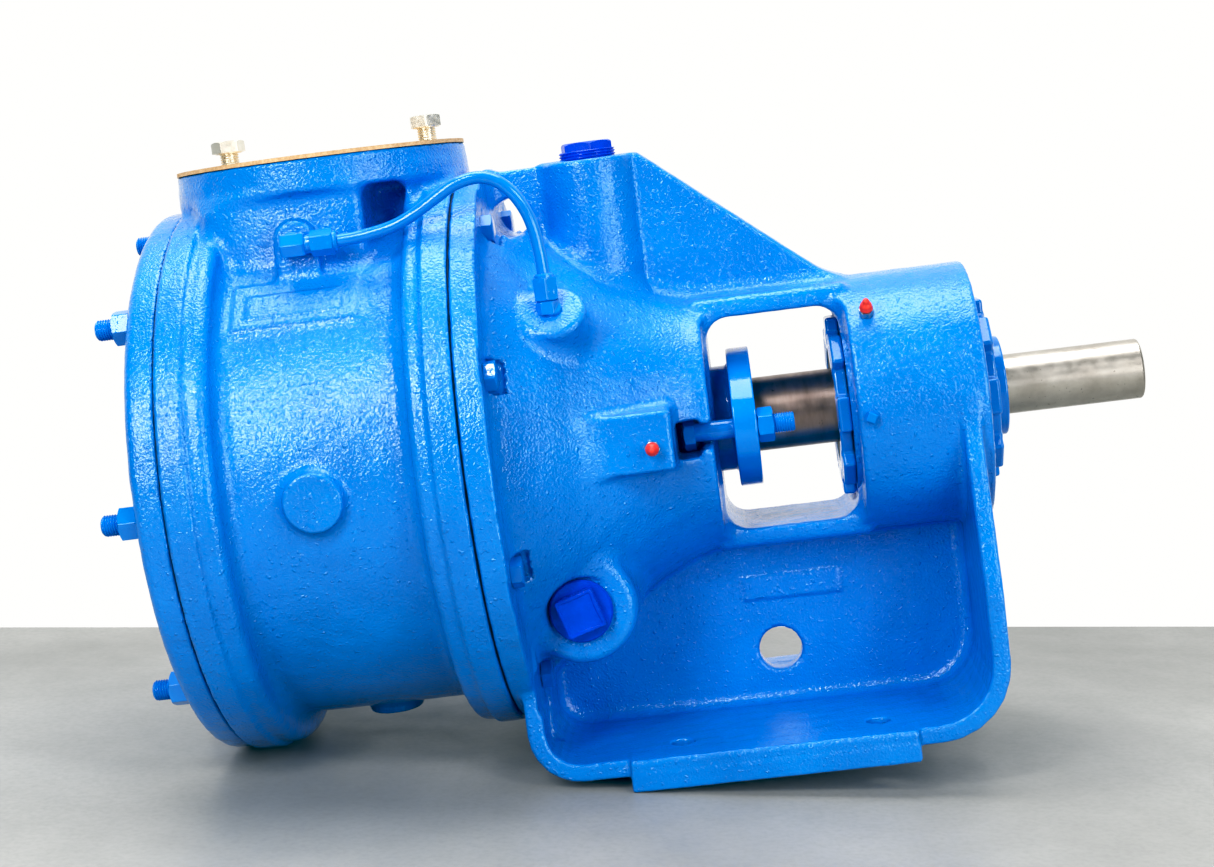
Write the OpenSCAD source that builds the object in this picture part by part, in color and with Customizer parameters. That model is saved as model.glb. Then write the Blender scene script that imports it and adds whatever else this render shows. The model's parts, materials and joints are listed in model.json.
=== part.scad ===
// Foot-mounted internal gear pump: head, casing, bearing bracket, gears, shaft, packing and bearing.
// X runs along the shaft towards the coupling end, Z is up and Y points to the side port.
// Shapes are drawn in the pump's own frame, with the shaft axis at y = z = 0 and x = 0 at the split
// between casing and bracket. pump_frame() moves that to the middle of the foot's bolt pattern.

/* [Foot] */
// Height of the shaft axis above the base
axis_height = 262; // [250:1:275]
// Distance between the foot bolts along the shaft
foot_bolt_x = 153; // [140:1:160]
// Distance between the foot bolts across the shaft
foot_bolt_y = 200; // [180:1:210]
// Radius of the foot bolt holes
foot_hole_r = 9; // [7:0.5:11]
// Half the width of the foot
foot_half = 139; // [130:1:145]

/* [Casing and head] */
// Outer radius of the casing flanges
flange_r = 224; // [222:1:228]
// Outer radius of the casing barrel
barrel_r = 199.5; // [196:0.5:202]
// Length of the casing between its two gaskets
casing_len = 219; // [210:1:225]
// Thickness of the head
head_t = 23.2; // [20:0.2:26]
// Pitch circle radius of the head studs
stud_pcr = 198; // [194:1:200]

/* [Ports] */
// Outer radius of the port flanges
port_r = 116; // [112:1:118]
// Distance of the port faces from the shaft axis
port_face = 248.7; // [246:0.1:254]
// Place of the port axes along the shaft
port_x = -112; // [-116:1:-108]
// Radius of the port bores
port_bore_r = 51; // [40:1:55]
// Pitch circle radius of the port bolts
port_pcr = 90; // [86:1:94]

/* [Bracket] */
// Length of the bracket from its flange face
bracket_len = 390; // [385:1:400]
// Outer radius of the bearing end of the bracket
housing_r = 103.4; // [100:0.2:108]
// Start of the window along the shaft
window_x0 = 180; // [178:1:184]
// End of the window along the shaft
window_x1 = 285; // [283:1:288]
// Half the height of the window
window_half = 85; // [80:1:88]

/* [Shaft and gland] */
// Radius of the shaft in the packing and the bearing
shaft_r = 30; // [28:0.5:32]
// Radius of the shaft extension
shaft_end_r = 24; // [20:0.5:25]
// End of the shaft measured from the bracket flange
shaft_end_x = 522; // [500:1:540]
// Face of the gland flange on the packing side
gland_x = 193.5; // [192:0.5:196]
// Distance of the gland bolts from the shaft axis
gland_bolt_y = 70; // [68:0.5:72]

/* [Gears] */
// Gear module
gear_m = 18; // [17.6:0.1:18]
// Number of teeth on the rotor
rotor_teeth = 12; // [12]
// Number of teeth on the idler
idler_teeth = 8; // [8]

/* [Hidden] */
$fn = 96;

blue = [0.04, 0.45, 0.87];
plug_blue = [0.06, 0.16, 0.85];
steel = [0.62, 0.60, 0.57];
zinc = [0.80, 0.79, 0.70];
bronze = [0.65, 0.48, 0.26];
board = [0.80, 0.60, 0.38];
graphite = [0.20, 0.20, 0.21];

eps = 1;                            // how far cutters run past the faces they open
foot_x = 201;                       // middle of the foot bolt pattern along the shaft
gasket_t = 0.8;
casing_x1 = -gasket_t;              // casing face on the bracket side
casing_x0 = casing_x1 - casing_len; // casing face on the head side
head_x1 = casing_x0 - gasket_t;
head_x0 = head_x1 - head_t;
rim_t = 20;                         // axial width of each band of the casing flanges
clear = 0.4;                        // gap between parts that move past each other

eccentricity = gear_m * (rotor_teeth - idler_teeth) / 2;
idler_y = eccentricity * cos(45);   // the idler sits towards the corner between the two ports
idler_z = eccentricity * sin(45);
rotor_r = 150;                      // outside radius of the rotor
rotor_x0 = head_x1 + clear;         // open end of the rotor teeth
gear_x1 = rotor_x0 + 100;           // root of the teeth at the rotor's disc
rotor_x1 = gear_x1 + 44;            // back of the rotor's disc
pin_r = 25;

box_bore_r = 43.2;                  // stuffing box bore
packing_x0 = 62;
packing_ring_t = 12.5;
bearing_x = 340;                    // middle of the ball bearing
seal_seat_r = shaft_end_r + 1;      // shaft under the outer lip seal
outer_seal_r = 33;
ball_r = 9;
ball_pcr = 47;
ball_count = 12;
cap_x0 = 275.5;                     // window side face of the inner end cap
outer_cap_x = 391.5;                // inner face of the outer end cap
base_z = -axis_height;
foot_pad_t = 11;
plate_z = base_z + foot_pad_t;      // underside of the foot plate beside its machined pads

// frames and plain shapes

module pump_frame() translate([-foot_x, 0, axis_height]) children();

module xcyl(x0, x1, r, y = 0, z = 0)
    translate([x0, y, z]) rotate([0, 90, 0]) cylinder(h = x1 - x0, r = r);

module ycyl(y0, y1, r, x = 0, z = 0)
    translate([x, y0, z]) rotate([-90, 0, 0]) cylinder(h = y1 - y0, r = r);

module zcyl(z0, z1, r, x = 0, y = 0) translate([x, y, z0]) cylinder(h = z1 - z0, r = r);

module xring(x0, x1, r, bore) difference() {
    xcyl(x0, x1, r);
    xcyl(x0 - eps, x1 + eps, bore);
}

// points are [radius, x]
module xrev(points) rotate([0, 90, 0]) rotate_extrude() polygon(points);

module box3(x, y, z) translate([x[0], y[0], z[0]]) cube([x[1] - x[0], y[1] - y[0], z[1] - z[0]]);

// outline in x and z, extruded across the pump
module side_plate(points, y0, y1)
    translate([0, y1, 0]) rotate([90, 0, 0]) linear_extrude(height = y1 - y0) polygon(points);

// outline in y and z, extruded along the shaft
module end_plate(points, x0, x1)
    translate([x0, 0, 0]) rotate([90, 0, 90]) linear_extrude(height = x1 - x0) polygon(points);

module round_x(n, start = 0) for (i = [0:n - 1]) rotate([start + i * 360 / n, 0, 0]) children();

module hex_z(h, across_flats) cylinder(h = h, r = across_flats / 2 / cos(30), $fn = 6);

module hex_x(x0, x1, across_flats) translate([x0, 0, 0]) rotate([0, 90, 0]) hex_z(x1 - x0, across_flats);

function arc(cx, cz, r, a0, a1, n = 6) =
    [for (i = [0:n]) let (a = a0 + (a1 - a0) * i / n) [cx + r * cos(a), cz + r * sin(a)]];

module to_idler() translate([0, idler_y, idler_z]) children();

// ports: a square flange neck on a drilled round flange, drawn for the top port

module to_side_port() rotate([-90, 0, 0]) children();

port_bolt_angles = [for (i = [0:7]) 22.5 + 45 * i];
port_tap_r = 8;
port_tap_depth = 26;

module port_body() {
    zcyl(port_face - 25, port_face, port_r, port_x);
    end_plate([[-153, 128], [-112, 165], [-108, 226], [108, 226], [112, 165], [153, 128]], -203, -75);
    end_plate([[-100, 150], [-62, 226], [62, 226], [100, 150]], -76, -34);
}

module port_cuts() {
    zcyl(120, port_face + eps, port_bore_r, port_x);
    for (a = port_bolt_angles)
        zcyl(port_face - port_tap_depth, port_face + eps, port_tap_r,
            port_x + port_pcr * cos(a), port_pcr * sin(a));
}

cover_t = 3;

module port_cover() difference() {
    zcyl(port_face, port_face + cover_t, port_r, port_x);
    for (a = port_bolt_angles)
        zcyl(port_face - eps, port_face + cover_t + eps, port_tap_r + 1,
            port_x + port_pcr * cos(a), port_pcr * sin(a));
}

port_bolt_head_z = 265.8;

module port_bolt(angle) {
    x = port_x + port_pcr * cos(angle);
    y = port_pcr * sin(angle);
    zcyl(port_bolt_head_z - 38, port_bolt_head_z, port_tap_r - 0.2, x, y);
    translate([x, y, port_bolt_head_z]) rotate(12) hex_z(9.5, 24);
}

module port_bolt_pair() {
    port_bolt(22.5);
    port_bolt(157.5);
}

// casing and head

module casing_shell() xrev([[0, casing_x0], [flange_r, casing_x0], [flange_r, casing_x0 + rim_t],
    [flange_r - 3, casing_x0 + rim_t], [flange_r - 3, casing_x0 + 2 * rim_t - 1],
    [barrel_r, casing_x0 + 2 * rim_t + 14], [barrel_r, casing_x1 - 2 * rim_t - 14],
    [flange_r - 3, casing_x1 - 2 * rim_t + 4], [flange_r - 3, casing_x1 - rim_t],
    [flange_r, casing_x1 - rim_t], [flange_r, casing_x1], [0, casing_x1]]);

pilot_r = 120;
blank_boss_x = -114.6;
blank_boss_face = 209.3;
flush_boss_x = -117.5;
flush_boss_z = 187;
flush_boss_r = 16.5;
tube_r = 4.8;
tube_z = 184.6;                     // height of the tube where it leaves the casing fitting
tube_nut_x = -103.5;
tube_nut_len = 20.5;

module casing() pump_frame() color(blue) difference() {
    union() {
        casing_shell();
        port_body();
        to_side_port() port_body();
        ycyl(-blank_boss_face, -190, 22.5, blank_boss_x, 0);
        zcyl(-blank_boss_face, -190, 22.5, blank_boss_x, 0);
        ycyl(-124, -90, flush_boss_r, flush_boss_x, flush_boss_z);
        box3([flush_boss_x - flush_boss_r - 0.5, flush_boss_x + flush_boss_r + 0.5], [-124, -90],
            [140, flush_boss_z]);
    }
    xcyl(casing_x0 - eps, rotor_x1 + clear, rotor_r + clear);
    xcyl(rotor_x1, casing_x1 + eps, pilot_r);
    port_cuts();
    to_side_port() port_cuts();
    ycyl(-125, -60, 5, flush_boss_x, flush_boss_z);
    xcyl(tube_nut_x - 0.5, tube_nut_x + tube_nut_len + 2, 10.5, -131, tube_z);
    round_x(8) xcyl(casing_x0 - eps, casing_x0 + 32, 8, stud_pcr);
    round_x(8, 22.5) xcyl(casing_x1 - 30, casing_x1 + eps, 6, screw_pcr);
}

crescent_out_r = 98;
crescent_in_r = 85.6;

module crescent() difference() {
    xcyl(head_x1 - 0.5, gear_x1 - clear, crescent_out_r);
    to_idler() xcyl(head_x1 - eps, gear_x1 + eps, crescent_in_r);
    rotate([45, 0, 0]) box3([head_x1 - 2, gear_x1 + eps], [-8, 130], [-130, 130]);
}

module head() pump_frame() color(blue) difference() {
    union() {
        xrev([[0, head_x0], [flange_r - 12, head_x0], [flange_r - 4, head_x0 + 5],
            [flange_r - 3, head_x1], [0, head_x1]]);
        crescent();
        to_idler() xcyl(head_x0 - 9, head_x0 + eps, 52);
    }
    to_idler() xcyl(head_x0 - 20, head_x1 + eps, pin_r);
    round_x(8) xcyl(head_x0 - eps, head_x1 + eps, 8.5, stud_pcr);
}

module head_gasket() pump_frame() color(graphite) difference() {
    xcyl(head_x1, casing_x0, flange_r - 4);
    xcyl(head_x1 - eps, casing_x0 + eps, rotor_r + 4);
    round_x(8) xcyl(head_x1 - eps, casing_x0 + eps, 8.5, stud_pcr);
}

module casing_gasket() pump_frame() color(graphite) difference() {
    xcyl(casing_x1, 0, flange_r - 4);
    xcyl(casing_x1 - eps, eps, pilot_r + 1);
    round_x(8, 22.5) xcyl(casing_x1 - eps, eps, 6.5, screw_pcr);
}

stud_tip_x = -273;

module head_studs() pump_frame() color(blue)
    round_x(8) xcyl(stud_tip_x, casing_x0 + 30, 8, stud_pcr);

module head_nuts() pump_frame() color(blue) round_x(8) translate([0, stud_pcr, 0]) difference() {
    hex_x(head_x0 - 15, head_x0, 24);
    xcyl(head_x0 - 20, head_x0 + eps, 8.05);
}

// bracket

screw_pcr = 192;
bracket_flange_t = 20;
screw_seat_x = bracket_flange_t - 0.8; // spot face under each screw head
rail_half = 47;                     // half the width of the rails over and under the window
web_half = 8;
corner_l = 40;                      // outer radius of the foot's head-side corner
corner_r = 58;                      // outer radius of the foot's coupling-side corner
foot_x0 = 8;                        // outer faces of the foot's two end plates
foot_x1 = 380.4;
plate_t = 14;
top_boss_x = 102.5;
top_boss_z = 222;
jacket_boss_x = 61;
jacket_boss_z = -119;
jacket_face_y = 124;
flush_in_boss = [70, -130, 113];
connector_x = 67;                   // upright flush connector on the bracket
connector_z = 110;
connector_r = 7;
connector_depth = 12;
gland_pocket_x = 149;
grease_pad_face = 143;

module bracket_cone() xrev([[0, 0], [222, 0], [222, bracket_flange_t], [196, bracket_flange_t],
    [190, 31], [165, 60], [142, 90], [127, 113], [112, 144], [housing_r, 178], [housing_r, bracket_len],
    [0, bracket_len]]);

function foot_outline(inset) = concat(
    [[foot_x0 + inset, -110]],
    arc(foot_x0 + corner_l, plate_z + corner_l, corner_l - inset, 180, 270),
    arc(foot_x1 - corner_r, plate_z + corner_r, corner_r - inset, 270, 360),
    [[foot_x1 - inset, -20], [foot_x1 - inset - 12, 20]]);

// the bent plate that runs down one end, along the bottom and up the other end
module foot_band() intersection() {
    difference() {
        side_plate(foot_outline(0), -foot_half, foot_half);
        side_plate(concat(foot_outline(plate_t), [[foot_x1 - plate_t, 60], [foot_x0 + plate_t, 60]]),
            -foot_half - eps, foot_half + eps);
    }
    end_plate([[-foot_half, -foot_half - axis_height], [foot_half, -foot_half - axis_height],
        [foot_half, -143], [100, 10], [60, 30], [-60, 30], [-100, 10], [-foot_half, -143]],
        foot_x0 - eps, foot_x1 + eps);
}

module foot_web() side_plate(concat(foot_outline(2), [[360, -60], [60, -60]]), -web_half, web_half);

module foot_pads() for (side = [-1, 1])
    box3([84, 306], side > 0 ? [58, foot_half + 1] : [-foot_half - 1, -58], [base_z, plate_z + 2]);

module top_rib() {
    zcyl(80, top_boss_z, 40, top_boss_x);
    side_plate([[top_boss_x, 60], [top_boss_x, top_boss_z], [142.5, top_boss_z], [286, 104], [286, 92],
        [150, 92]], -22, 22);
    side_plate([[10, 150], [10, 205], [26, top_boss_z], [top_boss_x, top_boss_z], [top_boss_x, 100],
        [60, 100]], -14, 14);
}

module jacket_boss() ycyl(-jacket_face_y, -40, 42, jacket_boss_x, jacket_boss_z);

module flush_in_frame() translate(flush_in_boss) rotate([45, 0, 0]) children();

module gland_pocket() {
    box3([gland_pocket_x, 166], [-130, -56], [-14, 14]);
    box3([160, window_x0 + eps], [-130, -61], [-9.5, 9.5]);
}

window_corner = 18;
rails_x1 = window_x1 - window_corner;   // the rails over and under the window end at its round corners

// the window runs past the plane where the casting's nodes meet
module window() let (x0 = window_x0 + window_corner, x1 = window_x1 - window_corner,
        z = window_half - window_corner)
    side_plate(concat([[window_x0 - 5, -z - 8], [window_x0, -z - 8]], arc(x0, -z, window_corner, 206, 270),
        arc(x1, -z, window_corner, 270, 360), arc(x1, z, window_corner, 0, 90),
        arc(x0, z, window_corner, 90, 154), [[window_x0, z + 8], [window_x0 - 5, z + 8]]), -130, 130);

module jacket_chamber() xrev([[62, 28], [158, 28], [140, 60], [105, 112], [80, 136], [62, 136]]);

// the bracket without its foot, before its holes are cut
module bracket_blank() {
    bracket_cone();
    xcyl(rotor_x1 + 2, eps, pilot_r - 0.2);
    top_rib();
    jacket_boss();
    mirror([0, 1, 0]) jacket_boss();
    flush_in_frame() zcyl(-50, 0, 23);
    box3([90, 147], [-grease_pad_face, -100], [-17, 29]);
}

module screw_pockets() round_x(8, 22.5) xcyl(screw_seat_x, 60, 14, screw_pcr);

module plug_spot_faces() for (side = [0, 1]) mirror([0, side, 0])
    ycyl(-170, -jacket_face_y, 26, jacket_boss_x, jacket_boss_z);

// the foot is cast in one with the bracket, and meets it along the outside of the bell
module bracket_foot() pump_frame() color(blue) difference() {
    union() {
        foot_band();
        foot_web();
        foot_pads();
        box3([184, 265], [-web_half - 1.5, 0], [-152, -132]);
    }
    bracket_blank();
    screw_pockets();
    plug_spot_faces();
    ycyl(-20, 20, 17.5, 209.7, -194);
    for (x = [-foot_bolt_x, foot_bolt_x], y = [-foot_bolt_y, foot_bolt_y])
        zcyl(base_z - eps, plate_z + 30, foot_hole_r, foot_x + x / 2, y / 2);
}

module bracket_bores() {
    jacket_chamber();
    xcyl(rotor_x1, packing_x0 - 4, 40);
    xcyl(packing_x0 - 5, window_x0 + eps, box_bore_r);
}

module rail_shaves() for (side = [0, 1]) mirror([0, side, 0])
    box3([window_x0 - 3, window_x1 + 4], [-130, -rail_half], [-housing_r - 3, housing_r + 3]);

// the bracket is one casting in four nodes, cut at both ends of its two rails and along the foot

module bracket() pump_frame() color(blue) difference() {
    intersection() {
        bracket_blank();
        box3([-100, window_x0], [-230, 230], [-230, 230]);
    }
    bracket_bores();
    rail_shaves();
    gland_pocket();
    mirror([0, 1, 0]) gland_pocket();
    zcyl(140, top_boss_z + eps, 17, top_boss_x);
    for (side = [0, 1]) mirror([0, side, 0])
        ycyl(-jacket_face_y - eps, -100, 17, jacket_boss_x, jacket_boss_z);
    flush_in_frame() {
        zcyl(-60, eps, 5);
        zcyl(-connector_depth - 0.5, eps, connector_r + 0.1);
    }
    zcyl(connector_z - 0.1, connector_z + 40, 10.6, connector_x, -130);
    ycyl(-30, 30, 14, 36, 186);
    round_x(8, 22.5) xcyl(-eps, 24, 6.5, screw_pcr);
    screw_pockets();
    plug_spot_faces();
    ycyl(-grease_pad_face - eps, -100, 3, grease_near[0], grease_near[2]);
}

// the two rails that run over and under the window
module bracket_rails() pump_frame() color(blue) difference() {
    intersection() {
        bracket_blank();
        box3([window_x0, rails_x1], [-230, 230], [-230, 230]);
    }
    window();
    rail_shaves();
}

module bracket_bearing_end() pump_frame() color(blue) difference() {
    intersection() {
        bracket_blank();
        box3([rails_x1, bracket_len + 10], [-230, 230], [-230, 230]);
    }
    window();
    rail_shaves();
    xcyl(window_x1 - eps, bracket_len + eps, housing_bore_r);
    rotate([-grease_angle, 0, 0]) ycyl(-housing_r - eps, -70, 3, grease_top_x, 0);
    ycyl(-housing_r - eps, -70, 5, set_screw_x, 0);
}

module bracket_screws() pump_frame() color(blue) round_x(8, 22.5) translate([0, screw_pcr, 0]) {
    xcyl(-29, screw_seat_x + 1, 6);
    hex_x(screw_seat_x, 28, 19);
}

module bracket_bushing() pump_frame() color(graphite) xring(rotor_x1 + 3, 24, 40, shaft_r + 0.05);

// stuffing box

module packing_washer() pump_frame() color(steel)
    xring(packing_x0 - 4, packing_x0, box_bore_r, shaft_r + 0.1);

module packing_ring(x) xring(x, x + packing_ring_t, box_bore_r, shaft_r + 0.05);

module packing_rings() pump_frame() color(graphite) for (i = [0, 1, 3, 4, 5])
    packing_ring(packing_x0 + i * packing_ring_t);

module lantern_ring() pump_frame() color(bronze)
    xring(packing_x0 + 2 * packing_ring_t, packing_x0 + 3 * packing_ring_t, box_bore_r, shaft_r + 0.1);

gland_t = 18.5;
gland_lens_r = 106.5;

module gland_lens(side) xcyl(gland_x, gland_x + gland_t, gland_lens_r, 0, side * (gland_lens_r - 56));

module gland() pump_frame() color(blue) difference() {
    union() {
        intersection() {
            gland_lens(1);
            gland_lens(-1);
            xcyl(gland_x - eps, gland_x + gland_t + eps, gland_bolt_y + 15);
        }
        xcyl(gland_x - 42, gland_x + eps, box_bore_r - 0.4);
    }
    xcyl(gland_x - 50, gland_x + gland_t + eps, shaft_r + 0.4);
    for (y = [-gland_bolt_y, gland_bolt_y]) xcyl(gland_x - eps, gland_x + gland_t + eps, 9, y);
}

module gland_nuts() pump_frame() color(blue) for (y = [-gland_bolt_y, gland_bolt_y])
    translate([0, y, 0]) difference() {
        hex_x(gland_x + gland_t, gland_x + gland_t + 13, 24);
        xcyl(gland_x, gland_x + 40, 8.05);
    }

module gland_bolts() pump_frame() color(blue) for (y = [-gland_bolt_y, gland_bolt_y])
    translate([0, y, 0]) {
        hex_x(154, 163, 24);
        xcyl(162, 241, 8);
    }

// thrust bearing

housing_bore_r = 78;
race_out_r = 64;
race_half = 15;
set_screw_x = 298.7;
grease_top_x = 305.5;
grease_angle = 47;
grease_near = [132, -143, 2];

module bearing_housing() pump_frame() color(blue)
    xring(cap_x0 + 10, outer_cap_x, housing_bore_r, race_out_r);

module lugged_cap(x0, x1, bore) difference() {
    union() {
        xcyl(x0, x1, 62);
        round_x(8, 0) box3([x0, x1], [55, 72], [-14, 14]);
    }
    xcyl(x0 - eps, x1 + eps, bore);
}

module inner_end_cap() pump_frame() color(blue) lugged_cap(cap_x0, cap_x0 + 10, 46);

module outer_end_cap() pump_frame() color(blue) {
    lugged_cap(outer_cap_x, outer_cap_x + 10, outer_seal_r);
    xring(outer_cap_x + 9, 411.5, 40, outer_seal_r);
}

module lip_seal_inner() pump_frame() color(graphite) xring(cap_x0 + 1, cap_x0 + 9, 46, shaft_r + 0.05);

module lip_seal_outer() pump_frame() color(graphite) xring(402, 411, outer_seal_r, seal_seat_r + 0.05);

module groove() rotate([0, 90, 0]) rotate_extrude() translate([ball_pcr, bearing_x]) circle(ball_r + 0.3);

module bearing_outer_race() pump_frame() color(steel) difference() {
    xring(bearing_x - race_half, bearing_x + race_half, race_out_r, 53);
    groove();
}

module bearing_inner_race() pump_frame() color(steel) difference() {
    xring(bearing_x - race_half, bearing_x + race_half, 41, shaft_r);
    groove();
}

module bearing_balls() pump_frame() color(steel) round_x(ball_count)
    translate([bearing_x, ball_pcr, 0]) sphere(r = ball_r);

module bearing_cage() pump_frame() color(bronze) difference() {
    xring(bearing_x - 12, bearing_x + 12, 49, 45);
    round_x(ball_count) translate([bearing_x, 40, 0]) rotate([-90, 0, 0])
        cylinder(h = 14, r = ball_r + 0.1);
}

module bearing_spacer() pump_frame() color(steel) xring(bearing_x - 38, bearing_x - race_half, 38, shaft_r);

module bearing_locknut() pump_frame() color(steel) difference() {
    xring(bearing_x + race_half, bearing_x + race_half + 14, 42, shaft_r);
    round_x(4, 45) box3([bearing_x, bearing_x + 40], [38, 50], [-3, 3]);
}

module housing_set_screws() pump_frame() color(blue) {
    ycyl(-housing_r - 2, -housing_bore_r - 1, 5, set_screw_x, 0);
    translate([set_screw_x, -housing_r - 7, 0]) rotate([0, 20, 0])
        translate([-4.5, 0, -4.5]) cube([9, 6, 9]);
}

// grease fittings: a hex base, a nipple and a pull-off cap, standing along -Y from their seat

module fitting_body() {
    ycyl(-2, 12, 3, 0, 0);
    translate([0, -1, 0]) rotate([90, 0, 0]) hex_z(5, 10);
    ycyl(-11, -2, 2.6, 0, 0);
}

module fitting_cap() difference() {
    union() {
        ycyl(-12, -6, 5.2, 0, 0);
        ycyl(-17, -11, 2.6, 0, 0);
    }
    ycyl(-11, -5, 2.6, 0, 0);
}

module at_near_fitting() translate(grease_near) children();

module at_top_fitting() rotate([-grease_angle, 0, 0]) translate([grease_top_x, -housing_r, 0]) children();

module grease_fittings() pump_frame() color(steel) {
    at_near_fitting() fitting_body();
    at_top_fitting() fitting_body();
}

module grease_fitting_caps() pump_frame() color([0.90, 0.22, 0.18]) {
    at_near_fitting() fitting_cap();
    at_top_fitting() fitting_cap();
}

// plugs

module hex_plug(flange, size, height) {
    cylinder(h = 7, r = flange);
    translate([0, 0, 6]) hex_z(height - 6, size);
    translate([0, 0, -22]) cylinder(h = 23, r = 16.8);
}

module top_plug() pump_frame() color(plug_blue) translate([top_boss_x, 0, top_boss_z])
    hex_plug(22.8, 38, 14);

module side_plug() translate([jacket_boss_x, -jacket_face_y, jacket_boss_z]) rotate([90, 0, 0]) {
    cylinder(h = 6, r = 24.5);
    rotate(8) translate([-14.5, -14.5, 5]) cube([29, 29, 12]);
    translate([0, 0, -20]) cylinder(h = 21, r = 16.8);
}

module near_side_plug() pump_frame() color(plug_blue) side_plug();

module far_side_plug() pump_frame() color(plug_blue) mirror([0, 1, 0]) side_plug();

// ports

module top_port_cover() pump_frame() color(board) port_cover();

module side_port_cover() pump_frame() color(board) to_side_port() port_cover();

module top_port_bolts() pump_frame() color(zinc) port_bolt_pair();

module side_port_bolts() pump_frame() color(zinc) to_side_port() port_bolt_pair();

// flush line

tube_sides = 10;
tube_points = [[-104, -131, 184.6], [-94, -131, 184.6], [-84, -131, 184.5], [-70, -131, 185],
    [-54, -131, 187], [-38, -131, 190.5], [-22, -131, 197.5], [-5, -132, 207], [10, -132, 214.5],
    [27, -131, 217.5], [41, -130, 213], [52, -129.5, 202.5], [60, -129.5, 188], [64, -129.5, 173.5],
    [66, -129.8, 157], [66.8, -130, 143], [67, -130, 125]];

function unit(v) = v / norm(v);
function tangent(p, i) = unit(p[min(i + 1, len(p) - 1)] - p[max(i - 1, 0)]);
function ring_point(p, i, a) = let (t = tangent(p, i), u = unit(cross(t, [0, 1, 0])), v = cross(t, u))
    p[i] + tube_r * (cos(a) * u + sin(a) * v);

module swept_tube(p) {
    rings = len(p);
    last = rings - 1;
    polyhedron(
        points = [for (i = [0:last], k = [0:tube_sides - 1]) ring_point(p, i, k * 360 / tube_sides)],
        faces = concat(
            [for (i = [0:last - 1], k = [0:tube_sides - 1]) let (n = (k + 1) % tube_sides)
                [i * tube_sides + k, i * tube_sides + n, (i + 1) * tube_sides + n]],
            [for (i = [0:last - 1], k = [0:tube_sides - 1]) let (n = (k + 1) % tube_sides)
                [i * tube_sides + k, (i + 1) * tube_sides + n, (i + 1) * tube_sides + k]],
            [[for (k = [tube_sides - 1:-1:0]) k]],
            [[for (k = [0:tube_sides - 1]) last * tube_sides + k]]));
}

module flush_tube() pump_frame() color(blue) swept_tube(tube_points);

// an elbow on the casing boss and a straight connector on the bracket boss
module flush_fittings() pump_frame() color(blue) {
    difference() {
        union() {
            ycyl(-138, -124, 8, flush_boss_x, flush_boss_z);
            box3([flush_boss_x - 8, flush_boss_x + 10], [-141, -124], [tube_z - 9.5, tube_z + 11]);
            xcyl(flush_boss_x + 9, -96, 7, -131, tube_z);
        }
        xcyl(-105, -90, tube_r + 0.1, -131, tube_z);
    }
    flush_in_frame() zcyl(-connector_depth, 3, connector_r);
    difference() {
        union() {
            translate([connector_x, -130, connector_z]) hex_z(10, 16);
            zcyl(connector_z + 9, connector_z + 18, connector_r, connector_x, -130);
        }
        zcyl(connector_z + 10, connector_z + 20, tube_r + 0.1, connector_x, -130);
    }
}

module tube_nut() difference() {
    hex_z(tube_nut_len, 17.5);
    translate([0, 0, -1]) cylinder(h = 9, r = 7.05);
    translate([0, 0, -1]) cylinder(h = tube_nut_len + 2, r = tube_r + 0.3);
}

module flush_tube_nuts() pump_frame() color(blue) {
    translate([tube_nut_x, -131, tube_z]) rotate([0, 90, 0]) rotate(30) tube_nut();
    translate([connector_x, -130, connector_z + 10.5]) tube_nut();
}

// gears: involute flanks, with the rotor's spaces cut right through its rim

pressure_angle = 25;
backlash = 2.4;
idler_pr = gear_m * idler_teeth / 2;
rotor_pr = gear_m * rotor_teeth / 2;
idler_thick = 26;
rotor_space = idler_thick + backlash;
idler_tip_r = 85;
rotor_tip_r = 98.5;
space_r = 124;

function roll(r, base_r) = let (a = acos(min(1, base_r / r))) tan(a) * 180 / PI - a;
function half_angle(pr, thick, r) = let (base_r = pr * cos(pressure_angle))
    thick / 2 / pr * 180 / PI + roll(pr, base_r) - roll(max(r, base_r), base_r);
function tooth_side(pr, thick, r0, r1, side, n = 5) = [for (i = [0:n])
    let (r = r0 + (r1 - r0) * (side < 0 ? i : n - i) / n, a = side * half_angle(pr, thick, r))
    [r * cos(a), r * sin(a)]];

module tooth(pr, thick, r0, r1) polygon(concat(tooth_side(pr, thick, r0, r1, -1),
    tooth_side(pr, thick, r0, r1, 1), [[r0 * 0.8, 0]]));

module along_x(x0, x1) translate([x0, 0, 0]) rotate([90, 0, 90])
    linear_extrude(height = x1 - x0) children();

idler_base_r = 60;

function turned(points, a) = [for (p = points) [p.x * cos(a) - p.y * sin(a), p.x * sin(a) + p.y * cos(a)]];
function idler_tooth() = concat(tooth_side(idler_pr, idler_thick, idler_base_r, idler_tip_r, -1),
    tooth_side(idler_pr, idler_thick, idler_base_r, idler_tip_r, 1));
idler_outline = [for (i = [0:idler_teeth - 1]) each turned(idler_tooth(), 45 + i * 360 / idler_teeth)];

module idler_gear() pump_frame() color(steel) to_idler() difference() {
    along_x(rotor_x0, gear_x1 - clear) polygon(idler_outline);
    xcyl(rotor_x0 - eps, gear_x1, pin_r + 8);
}

module idler_bushing() pump_frame() color(graphite) to_idler() difference() {
    xcyl(rotor_x0, gear_x1 - clear, pin_r + 8);
    xcyl(rotor_x0 - eps, gear_x1, pin_r + 0.05);
}

module idler_pin() pump_frame() color(steel) to_idler() xcyl(head_x0 - 9, gear_x1 - clear, pin_r);

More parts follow.
